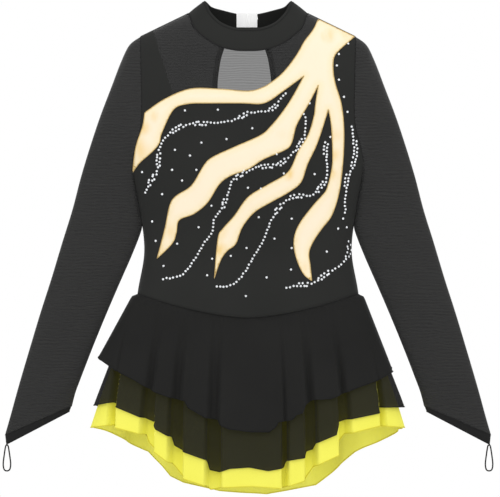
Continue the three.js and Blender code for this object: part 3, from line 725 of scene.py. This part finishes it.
def neck_label():
    """Blank label inside the back of the collar, with two soft folds down it."""
    low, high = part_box("neck_label")
    width, height = (high[0] - low[0]) / MM, 21.8
    behind, proud = 2.1, 4  # how far inside the collar it hangs, and how far above its edge
    middle = (low[0] + high[0]) / 2 / MM
    reach = (CLOSURE_HIGH - CLOSURE_LOW).length / 2
    folds = (0.44, 0.62)

    def place(u, v):
        x = middle + (u - 0.5) * width
        fold = -0.8 * sum(math.exp(-((u - at) / 0.03) ** 2) for at in folds)
        return at_closure(x, fold - behind, reach + proud - height * (1 - v))

    piece = cloth_grid("neck_label_satin", 60, 24, place, LABEL)
    thicken(piece, 0.4)
    settle(piece, "neck_label", ["neck_label"], "label_cloth")


# ---- sleeves ----
SLEEVE_TOP = [(150, -12), (166, -24), (178, -48), (191, -82), (207, -124), (221, -166),
              (234, -209), (246, -255), (260, -300), (275, -350), (291, -400), (306, -450),
              (321, -501), (332, -541), (340, -569)]
SLEEVE_UNDER = [(body_half(z) + 0.2, z) for z in (-204, -213, -223, -234, -247, -260, -272)]
SLEEVE_UNDER += [(151, -287), (164, -320), (182, -361), (200, -403), (218, -447), (235, -491),
                 (242, -510), (247, -529)]
CUFF_TOP, CUFF_UNDER = Vector((338.5, 0, -583.5)), Vector((250, 0, -537))
TOP_DEPTH, SLEEVE_DEPTH, CUFF_DEPTH = 24, 13, 9
SLEEVE_STEPS = 12
SLEEVE_COLUMNS = 96
CREASE_DEPTH = 1.1
CORD_RADIUS, LOOP_HALF = 1.0, 5.2
# Two places along each sleeve, in metres.
BLEND_START, BLEND_END = (0.164, -0.204), (0.269, -0.238)
SLEEVE_TOP_LINE = through([(x, 0, z) for x, z in SLEEVE_TOP], SLEEVE_STEPS)
SLEEVE_UNDER_LINE = through([(x, 0, z) for x, z in SLEEVE_UNDER], SLEEVE_STEPS)


def along_line(line, t):
    at = clamp(t) * (len(line) - 1)
    i = min(int(at), len(line) - 2)
    return line[i].lerp(line[i + 1], at - i)


def ring_point(top, under, depth, turn):
    """A place on the oval that hangs between an upper and a lower edge."""
    return (top + under) / 2 + (top - under) / 2 * math.cos(turn) + Vector(
        (0, depth * math.sin(turn), 0))


def on_sleeve(along, turn, hand):
    """A place on a sleeve: along it from armhole to cuff, and round it from its upper edge."""
    depth = lerp(TOP_DEPTH, SLEEVE_DEPTH, min(along / 0.4, 1))
    depth -= (SLEEVE_DEPTH - CUFF_DEPTH) * max((along - 0.6) / 0.4, 0)
    top, under = along_line(SLEEVE_TOP_LINE, along), along_line(SLEEVE_UNDER_LINE, along)
    p = ring_point(top, under, depth, turn)
    fade = max(1 - along / 0.25, 0) ** 2
    start = ring_point(SLEEVE_TOP_LINE[0], SLEEVE_UNDER_LINE[0], TOP_DEPTH, turn)
    seam_x = armhole(start.z)
    sine = math.sin(turn)
    seam_y = 0 if abs(sine) < 1e-6 else math.copysign(depth_at(seam_x, start.z), sine)
    p.x += fade * (seam_x + 0.1 - start.x)
    p.y += fade * (seam_y - start.y)
    crease = math.sin(p.z / 17 + 2 * math.sin(p.x / 21)) * math.sin(p.x / 31 + hand)
    p.y += CREASE_DEPTH * sine * crease * smooth(along / 0.2)
    return Vector((p.x * hand, p.y, p.z))


def sleeve(name, hand):
    body = f"sleeve_{name}"

    def place(u, v):
        return on_sleeve(v, u * math.tau, hand)

    arm = cloth_grid(f"sleeve_{name}_mesh", SLEEVE_COLUMNS, 180, place, SLEEVE_MESH, closed=True)
    make_outward(arm, Vector((hand * 0.225, 0, -0.3)))
    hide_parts(f"sleeve_{name}")

    end_top, end_under = SLEEVE_TOP_LINE[-1], SLEEVE_UNDER_LINE[-1]

    def band(u, v):
        p = ring_point(end_top.lerp(CUFF_TOP, v), end_under.lerp(CUFF_UNDER, v),
                       CUFF_DEPTH + 0.25, u * math.tau)
        return Vector((p.x * hand, p.y, p.z))

    cuff = cloth_grid(f"cuff_hem_{name}_band", SLEEVE_COLUMNS, 6, band, TRIM, closed=True)
    make_outward(cuff, Vector((hand * 0.295, 0, -0.56)))
    thicken(cuff, 0.8)
    settle(cuff, body, [f"cuff_hem_{name}"], "trim")
    for label, v in (("edge", 0.98), ("stitch", 0.05)):
        line = [band(k / 72, v) for k in range(72)]
        settle(tube(f"cuff_{label}_{name}", line, 0.55, TRIM, sides=6, closed=True), body,
               slot="trim")

    seam_ring = [on_sleeve(0.004, k / 90 * math.tau, hand) for k in range(90)]
    armhole_seam = tube(f"armhole_seam_{name}", seam_ring, 0.55, TRIM, closed=True)
    settle(armhole_seam, "garment", slot="trim")
    under_seam = tube(f"sleeve_seam_{name}",
                      [on_sleeve(k / 120, math.pi, hand) for k in range(121)], FINE_SEAM, TRIM,
                      sides=6)

    low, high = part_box(f"finger_loop_{name}")
    hang = Vector(((low[0] + high[0]) / 2 / MM, 0, high[2] / MM + 0.3))
    length = (high[2] - low[2]) / MM
    drop = [(0, 0), (-0.35, -0.05), (-0.75, -0.4), (-1, -0.72), (-0.75, -0.93), (0, -0.985),
            (0.75, -0.93), (1, -0.72), (0.75, -0.4), (0.35, -0.05), (0, 0)]
    line = evenly(through([hang + Vector((x * LOOP_HALF, 0, z * length)) for x, z in drop]),
                  90)[:-1]
    loop = tube(f"finger_loop_{name}_elastic", line, CORD_RADIUS, TRIM, sides=10, closed=True)
    settle(loop, f"finger_loop_{name}", [f"finger_loop_{name}"], "trim")

    start, end = ((hand * x, 0, z) for x, z in (BLEND_START, BLEND_END))
    for piece in (arm, under_seam):
        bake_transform(piece)
        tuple(start)
        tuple(end)


def make_outward(piece, middle):
    """Turns a tube's faces away from its middle."""
    bm = bmesh.new()
    bm.from_mesh(piece.data)
    bmesh.ops.recalc_face_normals(bm, faces=bm.faces)
    nearest = min(bm.faces, key=lambda f: (f.calc_center_median() - middle).length)
    if nearest.normal.dot(nearest.calc_center_median() - middle) < 0:
        bmesh.ops.reverse_faces(bm, faces=bm.faces)
    bm.to_mesh(piece.data)
    bm.free()


# ---- flame ----
# Each run goes from one sharp corner of the applique to the next.
FLAME_RUNS = [
    [(98, 12), (91, -3), (79, -19), (70, -35), (59, -51), (47, -65), (33.5, -76), (20, -84),
     (0, -89), (-42, -86), (-81, -86), (-116, -100), (-144, -119)],
    [(-144, -119), (-147, -138), (-154, -158), (-158, -175), (-161, -203)],
    [(-161, -203), (-151, -189), (-134, -174), (-124, -162), (-120, -147), (-104, -115),
     (-84, -107), (-56, -106), (-8, -106), (17, -107), (31, -102), (45, -92), (63, -79), (78, -68)],
    [(78, -68), (61, -99), (46, -121), (31, -139), (17, -151), (-19, -167), (-49, -181),
     (-61, -192), (-79, -221), (-100, -235), (-109, -248), (-116, -281), (-127, -323)],
    [(-127, -323), (-106, -302), (-100, -287), (-96, -269), (-75, -260), (-56, -244), (-40, -219),
     (-24, -207), (0, -198), (22, -184), (52, -171), (61, -161), (68, -136), (84, -108),
     (98, -81)],
    [(98, -81), (94, -108), (92, -124), (84, -150), (70, -173), (56, -202), (27, -220),
     (0, -237), (-19, -263), (-35, -281), (-42, -295), (-47, -351)],
    [(-47, -351), (-42, -335), (-36, -321), (-28, -311), (-17, -302), (-8, -279), (9, -258),
     (32, -244), (57, -230), (74, -216), (83, -191), (97, -161), (112, -115)],
    [(112, -115), (116, -136), (118, -180), (116, -202), (110, -225), (104, -234), (93, -246),
     (75, -269), (66, -287), (64, -305), (69, -327), (78, -345), (89, -354)],
    [(89, -354), (87, -333), (85, -315), (91, -299), (103, -281), (118, -260), (129, -220),
     (134, -157), (131, -111), (122, -79), (119, -60), (120, -42), (128, -31), (149, -12.5)],
    [(149, -12.5), (98, 12)],
]
FLAME_LIFT, FLAME_PUFF, FLAME_RIPPLE = 0.5, 0.5, 0.25
FLAME_GRID, FLAME_EDGE_REACH = 4.0, 12.0
# Painted shade where the foil turns darker gold: centre and reach of each patch.
GOLD_SHADE_PATCHES = [(-158, -172, 26), (-146, -140, 14), (-114, -285, 20), (-122, -310, 14), (-42, -285, 18),
        (-40, -310, 16), (48, -150, 13), (58, -205, 14), (121, -150, 13), (121, -178, 13),
        (118, -205, 12), (112, -12, 14), (138, -8, 12), (-30, -235, 14), (72, -335, 14),
        (-128, -125, 12), (96, -225, 12), (66, -300, 11)]


def flame_outline(spacing=2.0):
    outline = []
    for run in FLAME_RUNS:
        line = through([(x, 0, z) for x, z in run])
        length = sum((b - a).length for a, b in zip(line, line[1:]))
        outline += evenly(line, max(int(length / spacing), 2) + 1)[:-1]
    return outline


def edge_finder(outline):
    """A function that says how far a place on the applique is from its edge."""
    tree = KDTree(len(outline))
    for i, p in enumerate(outline):
        tree.insert(p, i)
    tree.balance()
    count = len(outline)

    def distance(x, z):
        _, nearest, _ = tree.find((x, 0, z))
        best = 1e9
        for i in range(nearest - 3, nearest + 3):
            a, b = outline[i % count], outline[(i + 1) % count]
            ex, ez = b.x - a.x, b.z - a.z
            t = clamp(((x - a.x) * ex + (z - a.z) * ez) / (ex * ex + ez * ez))
            best = min(best, math.hypot(a.x + t * ex - x, a.z + t * ez - z))
        return best

    return distance


def flame():
    """One cut of foil cloth on the bodice, puffed a little, with a satin-stitched edge."""
    outline = flame_outline()
    bm = bmesh.new()
    verts = [bm.verts.new(p) for p in outline]
    edges = [bm.edges.new((a, b)) for a, b in zip(verts, verts[1:] + verts[:1])]
    bmesh.ops.triangle_fill(bm, edges=edges, use_beauty=True, use_dissolve=False)
    for axis, low, high in (((1, 0, 0), -160, 152), ((0, 0, 1), -356, 16)):
        for k in range(int((high - low) / FLAME_GRID)):
            at = low + k * FLAME_GRID
            bmesh.ops.bisect_plane(bm, geom=bm.verts[:] + bm.edges[:] + bm.faces[:], dist=1e-4,
                                   plane_co=Vector(axis) * at, plane_no=axis)
    bmesh.ops.remove_doubles(bm, verts=bm.verts, dist=0.05)
    distance = edge_finder(outline)
    edge_layer = bm.verts.layers.float.new("edge")
    gold_shade_layer = bm.verts.layers.float.new("gilt")
    for vert in bm.verts:
        x, z = vert.co.x, vert.co.z
        inside = distance(x, z)
        vert[edge_layer] = min(inside / FLAME_EDGE_REACH, 1.0)
        # Weight of the painted gold shade, from the listed patches.
        vert[gold_shade_layer] = max(smooth(1 - math.hypot(x - at_x, z - at_z) / size)
                               for at_x, at_z, size in GOLD_SHADE_PATCHES)
        puff = FLAME_PUFF * smooth(inside / 5)
        ripple = FLAME_RIPPLE * math.sin(x / 9 + z / 13) * smooth(inside / 6)
        vert.co = on_body(x, z, FRONT, FLAME_LIFT + puff + ripple)
    bmesh.ops.recalc_face_normals(bm, faces=bm.faces)
    if sum(f.normal.y for f in bm.faces) > 0:
        bmesh.ops.reverse_faces(bm, faces=bm.faces)
    piece = finish_mesh(bm, "flame_foil_cloth", FOIL)
    thicken(piece, 0.4)
    settle(piece, "garment", ["flame_applique"], "flame_foil")
    border = [on_body(p.x, p.z, FRONT, FLAME_LIFT + 0.15) for p in outline]
    settle(tube("flame_edge_stitching", border, 0.42, STITCH, sides=8, closed=True), "garment",
           slot="flame_foil")


# ---- crystals ----
TRAILS = [
    [(52, -92), (43, -104), (33, -115), (17, -118), (0, -120), (-10, -125), (-25, -131),
     (-43, -133), (-62, -134), (-82, -135), (-95, -139), (-108, -147), (-118, -157), (-124, -170),
     (-125, -182), (-126, -195), (-131, -208), (-138, -218), (-143, -231)],
    [(78, -121), (80, -128), (80, -141), (78, -153), (71, -166), (60, -178), (46, -190),
     (31, -194), (15, -195), (0, -200), (-13, -207), (-22, -215), (-27, -229), (-32, -244),
     (-39, -257), (-47, -268), (-50, -285), (-59, -298), (-70, -316), (-82, -335), (-95, -347),
     (-119, -351)],
    [(109, -161), (108, -172), (110, -185), (111, -199), (108, -213), (100, -225), (88, -235),
     (70, -235), (55, -241), (44, -250), (37, -262), (30, -275), (24, -290), (16, -308),
     (5, -325), (-5, -342), (-16, -355), (-30, -362), (-44, -362)],
    [(145, -138), (148, -155), (150, -168), (149, -182), (146, -196), (139, -209), (137, -225),
     (136, -243), (136, -259)],
    [(141, -299), (140, -318), (130, -331), (118, -339), (105, -347), (94, -356), (80, -359),
     (66, -361), (54, -364)],
]
DOUBLED = [
    [(33, -108), (-5, -122), (-64, -136), (-96, -143), (-126, -185), (-133, -212)],
    [(72, -160), (48, -187), (28, -194), (-10, -206), (-31, -244)],
    [(108, -167), (102, -222), (70, -235), (42, -252)],
    [(148, -165), (147, -185), (138, -213)],
    [(138, -312), (108, -345), (78, -359)],
]
TRUNK_EDGE = [(140, -22), (127, -37), (124, -53), (127, -73), (134, -97), (139, -118)]
SCATTER = [(-88, -116), (-42, -115), (6, -141), (-30, -156), (-65, -161), (-102, -171),
           (-81, -179), (-106, -199), (-72, -199), (-148, -202), (-92, -214), (-120, -233),
           (-51, -249), (0, -224), (18, -225), (40, -177), (50, -204), (93, -205), (86, -106),
           (115, -153), (-134, -271), (-129, -298), (-99, -302), (-118, -333), (-69, -279),
           (-50, -323), (-57, -346), (-2, -308), (-24, -319), (15, -265), (37, -295), (61, -267),
           (61, -308), (60, -338), (26, -349), (-3, -375), (110, -313), (126, -281),
           (133, -267), (138, -279)]
STONE_RADIUS, STONE_HEIGHT, STONE_LIFT = 1.7, 0.8, 0.3
STONE_PITCH, STONE_ROW = 4.9, 4.2
DOUBLED_REACH = 9  # a second row stands this near a DOUBLED place


def set_stone(bm, x, z, twist):
    """One flat-backed stone: eight sides rising to a small table."""
    seat = on_body(x, z, FRONT, STONE_LIFT)
    out = (on_body(x, z, FRONT, STONE_LIFT + 1) - seat).normalized()
    turn = out.to_track_quat("Z", "Y").to_matrix().to_4x4() @ Matrix.Rotation(twist, 4, "Z")
    bmesh.ops.create_cone(bm, cap_ends=True, segments=8, radius1=STONE_RADIUS,
                          radius2=STONE_RADIUS * 0.55, depth=STONE_HEIGHT,
                          matrix=Matrix.Translation(seat + out * STONE_HEIGHT / 2) @ turn)


def crystals():
    chance = random.Random(7)
    for number, (trail, doubled) in enumerate(zip(TRAILS, DOUBLED), 1):
        line = through([(x, 0, z) for x, z in trail])
        length = sum((b - a).length for a, b in zip(line, line[1:]))
        stones = evenly(line, int(length / STONE_PITCH) + 1)
        bm = bmesh.new()
        for i, p in enumerate(stones):
            ahead = stones[min(i + 1, len(stones) - 1)] - stones[max(i - 1, 0)]
            ahead.normalize()
            beside = Vector((-ahead.z, 0, ahead.x))
            crowd = min(math.hypot(p.x - x, p.z - z) for x, z in doubled)
            side = chance.choice((-1, 1))
            sway = chance.uniform(-0.7, 0.7)
            if crowd < DOUBLED_REACH:
                sway -= side * STONE_ROW * 0.45
                extra = p + ahead * (STONE_PITCH * 0.4) + beside * (sway + side * STONE_ROW)
                set_stone(bm, extra.x, extra.z, chance.uniform(0, 0.8))
            placed = p + ahead * chance.uniform(-0.5, 0.5) + beside * sway
            set_stone(bm, placed.x, placed.z, chance.uniform(0, 0.8))
        settle(finish_mesh(bm, f"crystals_trail_{number}", CRYSTAL, soften=False), "garment",
               [f"rhinestone_trail_{number}"], "crystal")
    bm = bmesh.new()
    for x, z in SCATTER + TRUNK_EDGE:
        set_stone(bm, x, z, chance.uniform(0, 0.8))
    settle(finish_mesh(bm, "crystals_scattered", CRYSTAL, soften=False), "garment", slot="crystal")


# ---- skirt ----
# Folds of the front, as the left and right edges of each raised fold at the hem.
FOLDS = [(-222, -191), (-184, -147), (-130, -109), (-90, -58), (-37, 47), (55, 79), (95, 126),
         (141, 182), (187, 222)]
FOLD_EDGE = 4.0
FOLD_DEPTH, FOLD_RUN, FOLD_PLAN_HALF = 8.0, 170, 214
SWAY, GATHER, GATHER_COUNT, GATHER_RUN = 0.8, 0.25, 90, 0.12
SEAM_SPREAD, SEAM_SPREAD_RUN = 7, 0.045  # how the tiers stand out just below the seam
TIER_COLUMNS = 900
TIERS = [
    dict(name="skirt_tier_top", finish=TOP_CHIFFON, hem_finish=BLACK_HEM, side=(210, 202),
         inset=0.0, half_depth=61, spill=4.0, valley=-0.35, slot="chiffon",
         front=[(-210, -460), (-185, -478), (-157, -492), (-133, -507), (-108, -516), (-87, -521),
                (-83, -530), (-59, -544), (-42, -547), (-38, -555), (-26, -560), (5, -564),
                (29, -564), (38, -557), (42, -550), (61, -547), (67, -540), (75, -538),
                (80, -526), (91, -519), (115, -518), (150, -503), (180, -492), (201, -480)],
         back=[(-210, -462), (-140, -515), (-70, -560), (0, -572), (70, -560), (140, -515),
               (210, -470)]),
    dict(name="skirt_tier_middle", finish=MIDDLE_CHIFFON, hem_finish=BLACK_HEM, side=(214, 217),
         inset=1.5, half_depth=59, spill=0.0, valley=-1.1, slot="chiffon",
         front=[(-213, -528), (-190, -523), (-186, -528), (-131, -551), (-128, -560),
                (-108, -571), (-104, -583), (-88, -592), (-58, -603), (-54, -617), (-40, -620),
                (-26, -615), (2, -613), (28, -618), (50, -614), (54, -604), (79, -600),
                (83, -591), (92, -588), (96, -579), (122, -568), (126, -551), (138, -547),
                (181, -538), (186, -530), (214, -530)],
         back=[(-214, -528), (-140, -566), (-70, -612), (0, -622), (70, -612), (140, -566),
               (214, -529)]),
    dict(name="skirt_tier_bottom", finish=YELLOW_CHIFFON, hem_finish=YELLOW_HEM, side=(218, 217),
         inset=3.0, half_depth=58.5, spill=0.0, valley=-1.9, slot="yellow_chiffon",
         front=[(-218, -559), (-190, -555), (-186, -558), (-147, -568), (-143, -579),
                (-130, -592), (-109, -608), (-104, -613), (-91, -629), (-58, -640), (-54, -645),
                (-38, -642), (5, -640), (47, -643), (53, -641), (80, -632), (94, -613),
                (98, -610), (126, -597), (131, -577), (139, -567), (183, -556), (218, -559)],
         back=[(-218, -559), (-139, -594), (-112, -628), (-93, -637), (-41, -649), (26, -654),
               (95, -641), (117, -624), (155, -594), (218, -560)]),
]


def straight(points):
    """The height of a line of (x, z) points at x."""
    def value(x):
        at = clamp(x, points[0][0], points[-1][0])
        i = 0
        while i < len(points) - 2 and at > points[i + 1][0]:
            i += 1
        (x0, z0), (x1, z1) = points[i], points[i + 1]
        return lerp(z0, z1, (at - x0) / (x1 - x0))
    return value


flare_half = profile([(HIP_Z, HIP_HALF), (-470, 192), (-530, 212), (-560, 216), (-640, 218)])


def raised(x, side, tier):
    """1 on a raised fold, down to the tier's valley between two; the back folds are even."""
    if side > 0:
        up = 0.5 + 0.5 * math.tanh(1.6 * math.sin(x / 13.5))
    else:
        wide, edge = tier["spill"], FOLD_EDGE + tier["spill"]
        up = max(smooth((x - a + wide) / edge + 0.5) * smooth((b + wide - x) / edge + 0.5)
                 for a, b in FOLDS)
    return lerp(tier["valley"], 1, up)


def tier_place(tier):
    front, back = straight(tier["front"]), straight(tier["back"])

    def place(turn, drop):
        across, ahead = math.sin(turn), abs(math.cos(turn))
        side = FRONT if math.cos(turn) > 0 else BACK
        share_x = math.copysign(abs(across) ** (2 / SECTION_POWER), across)
        share_y = ahead ** (2 / SECTION_POWER)
        flat = 1 - 0.35 * smooth(drop)
        x_share, y_share = lerp(across, share_x, flat), lerp(ahead, share_y, flat)
        hem_x = tier["side"][across > 0] * lerp(across, share_x, 0.65)
        hem_z = front(hem_x) if side < 0 else back(hem_x)
        top_z = skirt_seam(share_x * HIP_HALF, side)
        reach_x = tier["side"][across > 0] - 1
        half_x = lerp(HIP_HALF - tier["inset"], reach_x, drop)
        half_x += SEAM_SPREAD * smooth(drop / SEAM_SPREAD_RUN) * (1 - drop)
        half_y = lerp(HIP_DEPTH - tier["inset"], tier["half_depth"], drop)
        z = lerp(top_z, hem_z, drop)
        plan_x = half_x * x_share * lerp(1, FOLD_PLAN_HALF / flare_half(z), 0.4)
        fall = smooth((HIP_Z - 10 - z) / FOLD_RUN)
        fold = FOLD_DEPTH * raised(plan_x, side, tier) * fall * smooth(ahead / 0.22)
        sway = SWAY * math.sin(plan_x / 23) * fall
        gather = GATHER * math.sin(turn * GATHER_COUNT) * (1 - smooth(drop / GATHER_RUN))
        away = Vector((x_share * 0.35, side * y_share, 0)).normalized()
        p = Vector((half_x * x_share, side * half_y * y_share, z))
        return p + away * (fold + sway + gather)

    return place


def skirt():
    for tier in TIERS:
        on_tier = tier_place(tier)

        def place(u, v):
            return on_tier(u * math.tau, 1 - v)

        piece = cloth_grid(tier["name"] + "_cloth", TIER_COLUMNS, 28, place, tier["finish"],
                           closed=True)
        make_outward(piece, Vector((0, 0, -0.45)))
        settle(piece, "garment", [tier["name"]], tier["slot"])
        hem = [on_tier(k / TIER_COLUMNS * math.tau, 1) for k in range(TIER_COLUMNS)]
        settle(tube(tier["name"] + "_hem", hem, 0.75, tier["hem_finish"], sides=6, closed=True),
               "garment", slot=tier["slot"])
    on_top_tier = tier_place(TIERS[0])
    seam = []
    for k in range(200):
        p = on_top_tier(k / 200 * math.tau, 0.0)
        seam.append(p + Vector((0, math.copysign(0.3, p.y), 0.3)))
    settle(tube("skirt_seam_cord", seam, FINE_SEAM, TRIM, closed=True), "garment", slot="trim")


# ---- built-in brief ----
BRIEF_INSET, LEG_TOP_Z, CROTCH_Z, CROTCH_HALF, CROTCH_ROLL = 4.8, -455, -572, 35, 60
BRIEF_CLOTH, GUSSET_HALF = 0.8, 21.5
brief_half = profile([(HIP_Z + 30, HIP_HALF - BRIEF_INSET), (LEG_TOP_Z, HIP_HALF - BRIEF_INSET),
                      (CROTCH_Z, 125)])
leg_edge = profile([(LEG_TOP_Z, HIP_HALF - BRIEF_INSET), (-480, 124), (-515, 84), (-545, 50),
                    (CROTCH_Z + 10, CROTCH_HALF)])


def brief_depth(x, z):
    t = clamp((z - CROTCH_Z) / CROTCH_ROLL)
    return (HIP_DEPTH - BRIEF_INSET) * section(x / brief_half(z)) * math.sqrt(1 - (1 - t) ** 2)


def brief():
    low_z = CROTCH_Z + 10
    for side, name in ((FRONT, "front"), (BACK, "back")):
        def place(u, v, side=side):
            s = spread(2 * u - 1)
            top_z = skirt_seam(s * (HIP_HALF - BRIEF_INSET), side) - 0.4
            z = lerp(low_z, top_z, v)
            half = brief_half(z) if z > LEG_TOP_Z else leg_edge(z)
            return Vector((s * half, side * brief_depth(s * half, z), z))

        piece = cloth_grid(f"brief_{name}_cloth", 90, 70, place, BRIEF_KNIT,
                           outward=lambda p, side=side: Vector((0, side, 0)))
        thicken(piece, BRIEF_CLOTH)
        settle(piece, "garment", [f"brief_{name}"], "bodice_cloth")

    def under(u, v):
        y = lerp(-GUSSET_HALF, GUSSET_HALF, v)
        rise = 1 - math.sqrt(1 - (y / (HIP_DEPTH - BRIEF_INSET)) ** 2)
        return Vector((lerp(-CROTCH_HALF, CROTCH_HALF, u), y, CROTCH_Z + CROTCH_ROLL * rise))

    gusset = cloth_grid("brief_gusset_cloth", 30, 24, under, BRIEF_KNIT,
                        outward=lambda p: Vector((0, 0, -1)))
    thicken(gusset, BRIEF_CLOTH)
    settle(gusset, "garment", ["brief_gusset"], "bodice_cloth")

    down = [-462, -470, -480, -490, -500, -510, -520, -530, -540, -550, -558]
    for hand, name in ((-1, "left"), (1, "right")):
        runs = {side: [(hand * (leg_edge(z) + 0.8), side * brief_depth(leg_edge(z), z), z - 0.8)
                       for z in down] for side in (FRONT, BACK)}
        under_leg = [(hand * (CROTCH_HALF + 1), y, CROTCH_Z + 1) for y in (-10, 10)]
        top = (hand * (HIP_HALF - BRIEF_INSET), 0, LEG_TOP_Z - 3)
        ring = [top, *runs[FRONT], *under_leg, *reversed(runs[BACK]), top]
        line = evenly(through(ring), 140)[:-1]
        settle(tube(f"leg_elastic_{name}_binding", line, 1.4, TRIM, sides=10, closed=True),
               "garment", [f"leg_elastic_{name}"], "trim")


# ---- light, floor and camera ----
FLOOR_Z, FLOOR_RADIUS = -0.80, 1.3
LAMPS_AIM = Vector((0, 0, -0.3))


def studio():
    world = bpy.data.worlds.new("studio")
    bpy.context.scene.world = world
    world.use_nodes = True
    world.node_tree.nodes["Background"].inputs["Color"].default_value = (1, 1, 1, 1)
    world.node_tree.nodes["Background"].inputs["Strength"].default_value = 1.0
    for name, place, power, size in (("key", (-0.9, -2.2, 1.1), 5, 1.2),
                                     ("fill", (1.5, -1.8, 0.2), 1.5, 1.5),
                                     ("top", (0, -0.5, 1.4), 3, 0.8),
                                     ("back", (0.4, 2.2, 1.0), 3, 1.4)):
        lamp = bpy.data.lights.new(name, "AREA")
        lamp.energy, lamp.size = power, size
        light = bpy.data.objects.new(name, lamp)
        light.location = place
        aim = LAMPS_AIM - Vector(place)
        light.rotation_euler = aim.to_track_quat("-Z", "Y").to_euler()
        light.visible_camera = False
        bpy.context.scene.collection.objects.link(light)
    bm = bmesh.new()
    bmesh.ops.create_circle(bm, cap_ends=True, segments=64, radius=FLOOR_RADIUS,
                            matrix=Matrix.Translation((0, 0, FLOOR_Z)))
    mesh = bpy.data.meshes.new("floor")
    bm.to_mesh(mesh)
    bm.free()
    floor = bpy.data.objects.new("floor", mesh)
    bpy.context.scene.collection.objects.link(floor)
    pale = Finish("floor_paint", Roughness=0.9)
    pale.feed(Base_Color=pale.tint(pale.noise(3.0), (0.86, 0.86, 0.86), (0.9, 0.9, 0.9)))
    mesh.materials.append(pale.material)
    bpy.context.scene.view_settings.view_transform = "Standard"
    bpy.context.scene.cycles.transparent_max_bounces = 24


def camera():
    """A long lens level with the middle of the garment, square to its front."""
    view_width, distance, sensor = 0.70, 12.0, 36.0
    middle_x, middle_z = 0.0028, -0.3087
    lens = bpy.data.cameras.new("camera")
    lens.sensor_width = sensor
    lens.lens = sensor * distance / view_width
    lens.clip_end = 50
    eye = bpy.data.objects.new("camera", lens)
    eye.location = (middle_x, -distance, middle_z)
    eye.rotation_euler = (math.pi / 2, 0, 0)
    bpy.context.scene.collection.objects.link(eye)
    bpy.context.scene.camera = eye


camera()
studio()
bodice()
front_yoke()
back_yoke()
shoulder_lining()
keyhole_facing()
body_trims()
collar()
closing_tab()
snap("upper", 5)
snap("lower", -5)
neck_label()
sleeve("left", -1)
sleeve("right", 1)
flame()
crystals()
skirt()
brief()
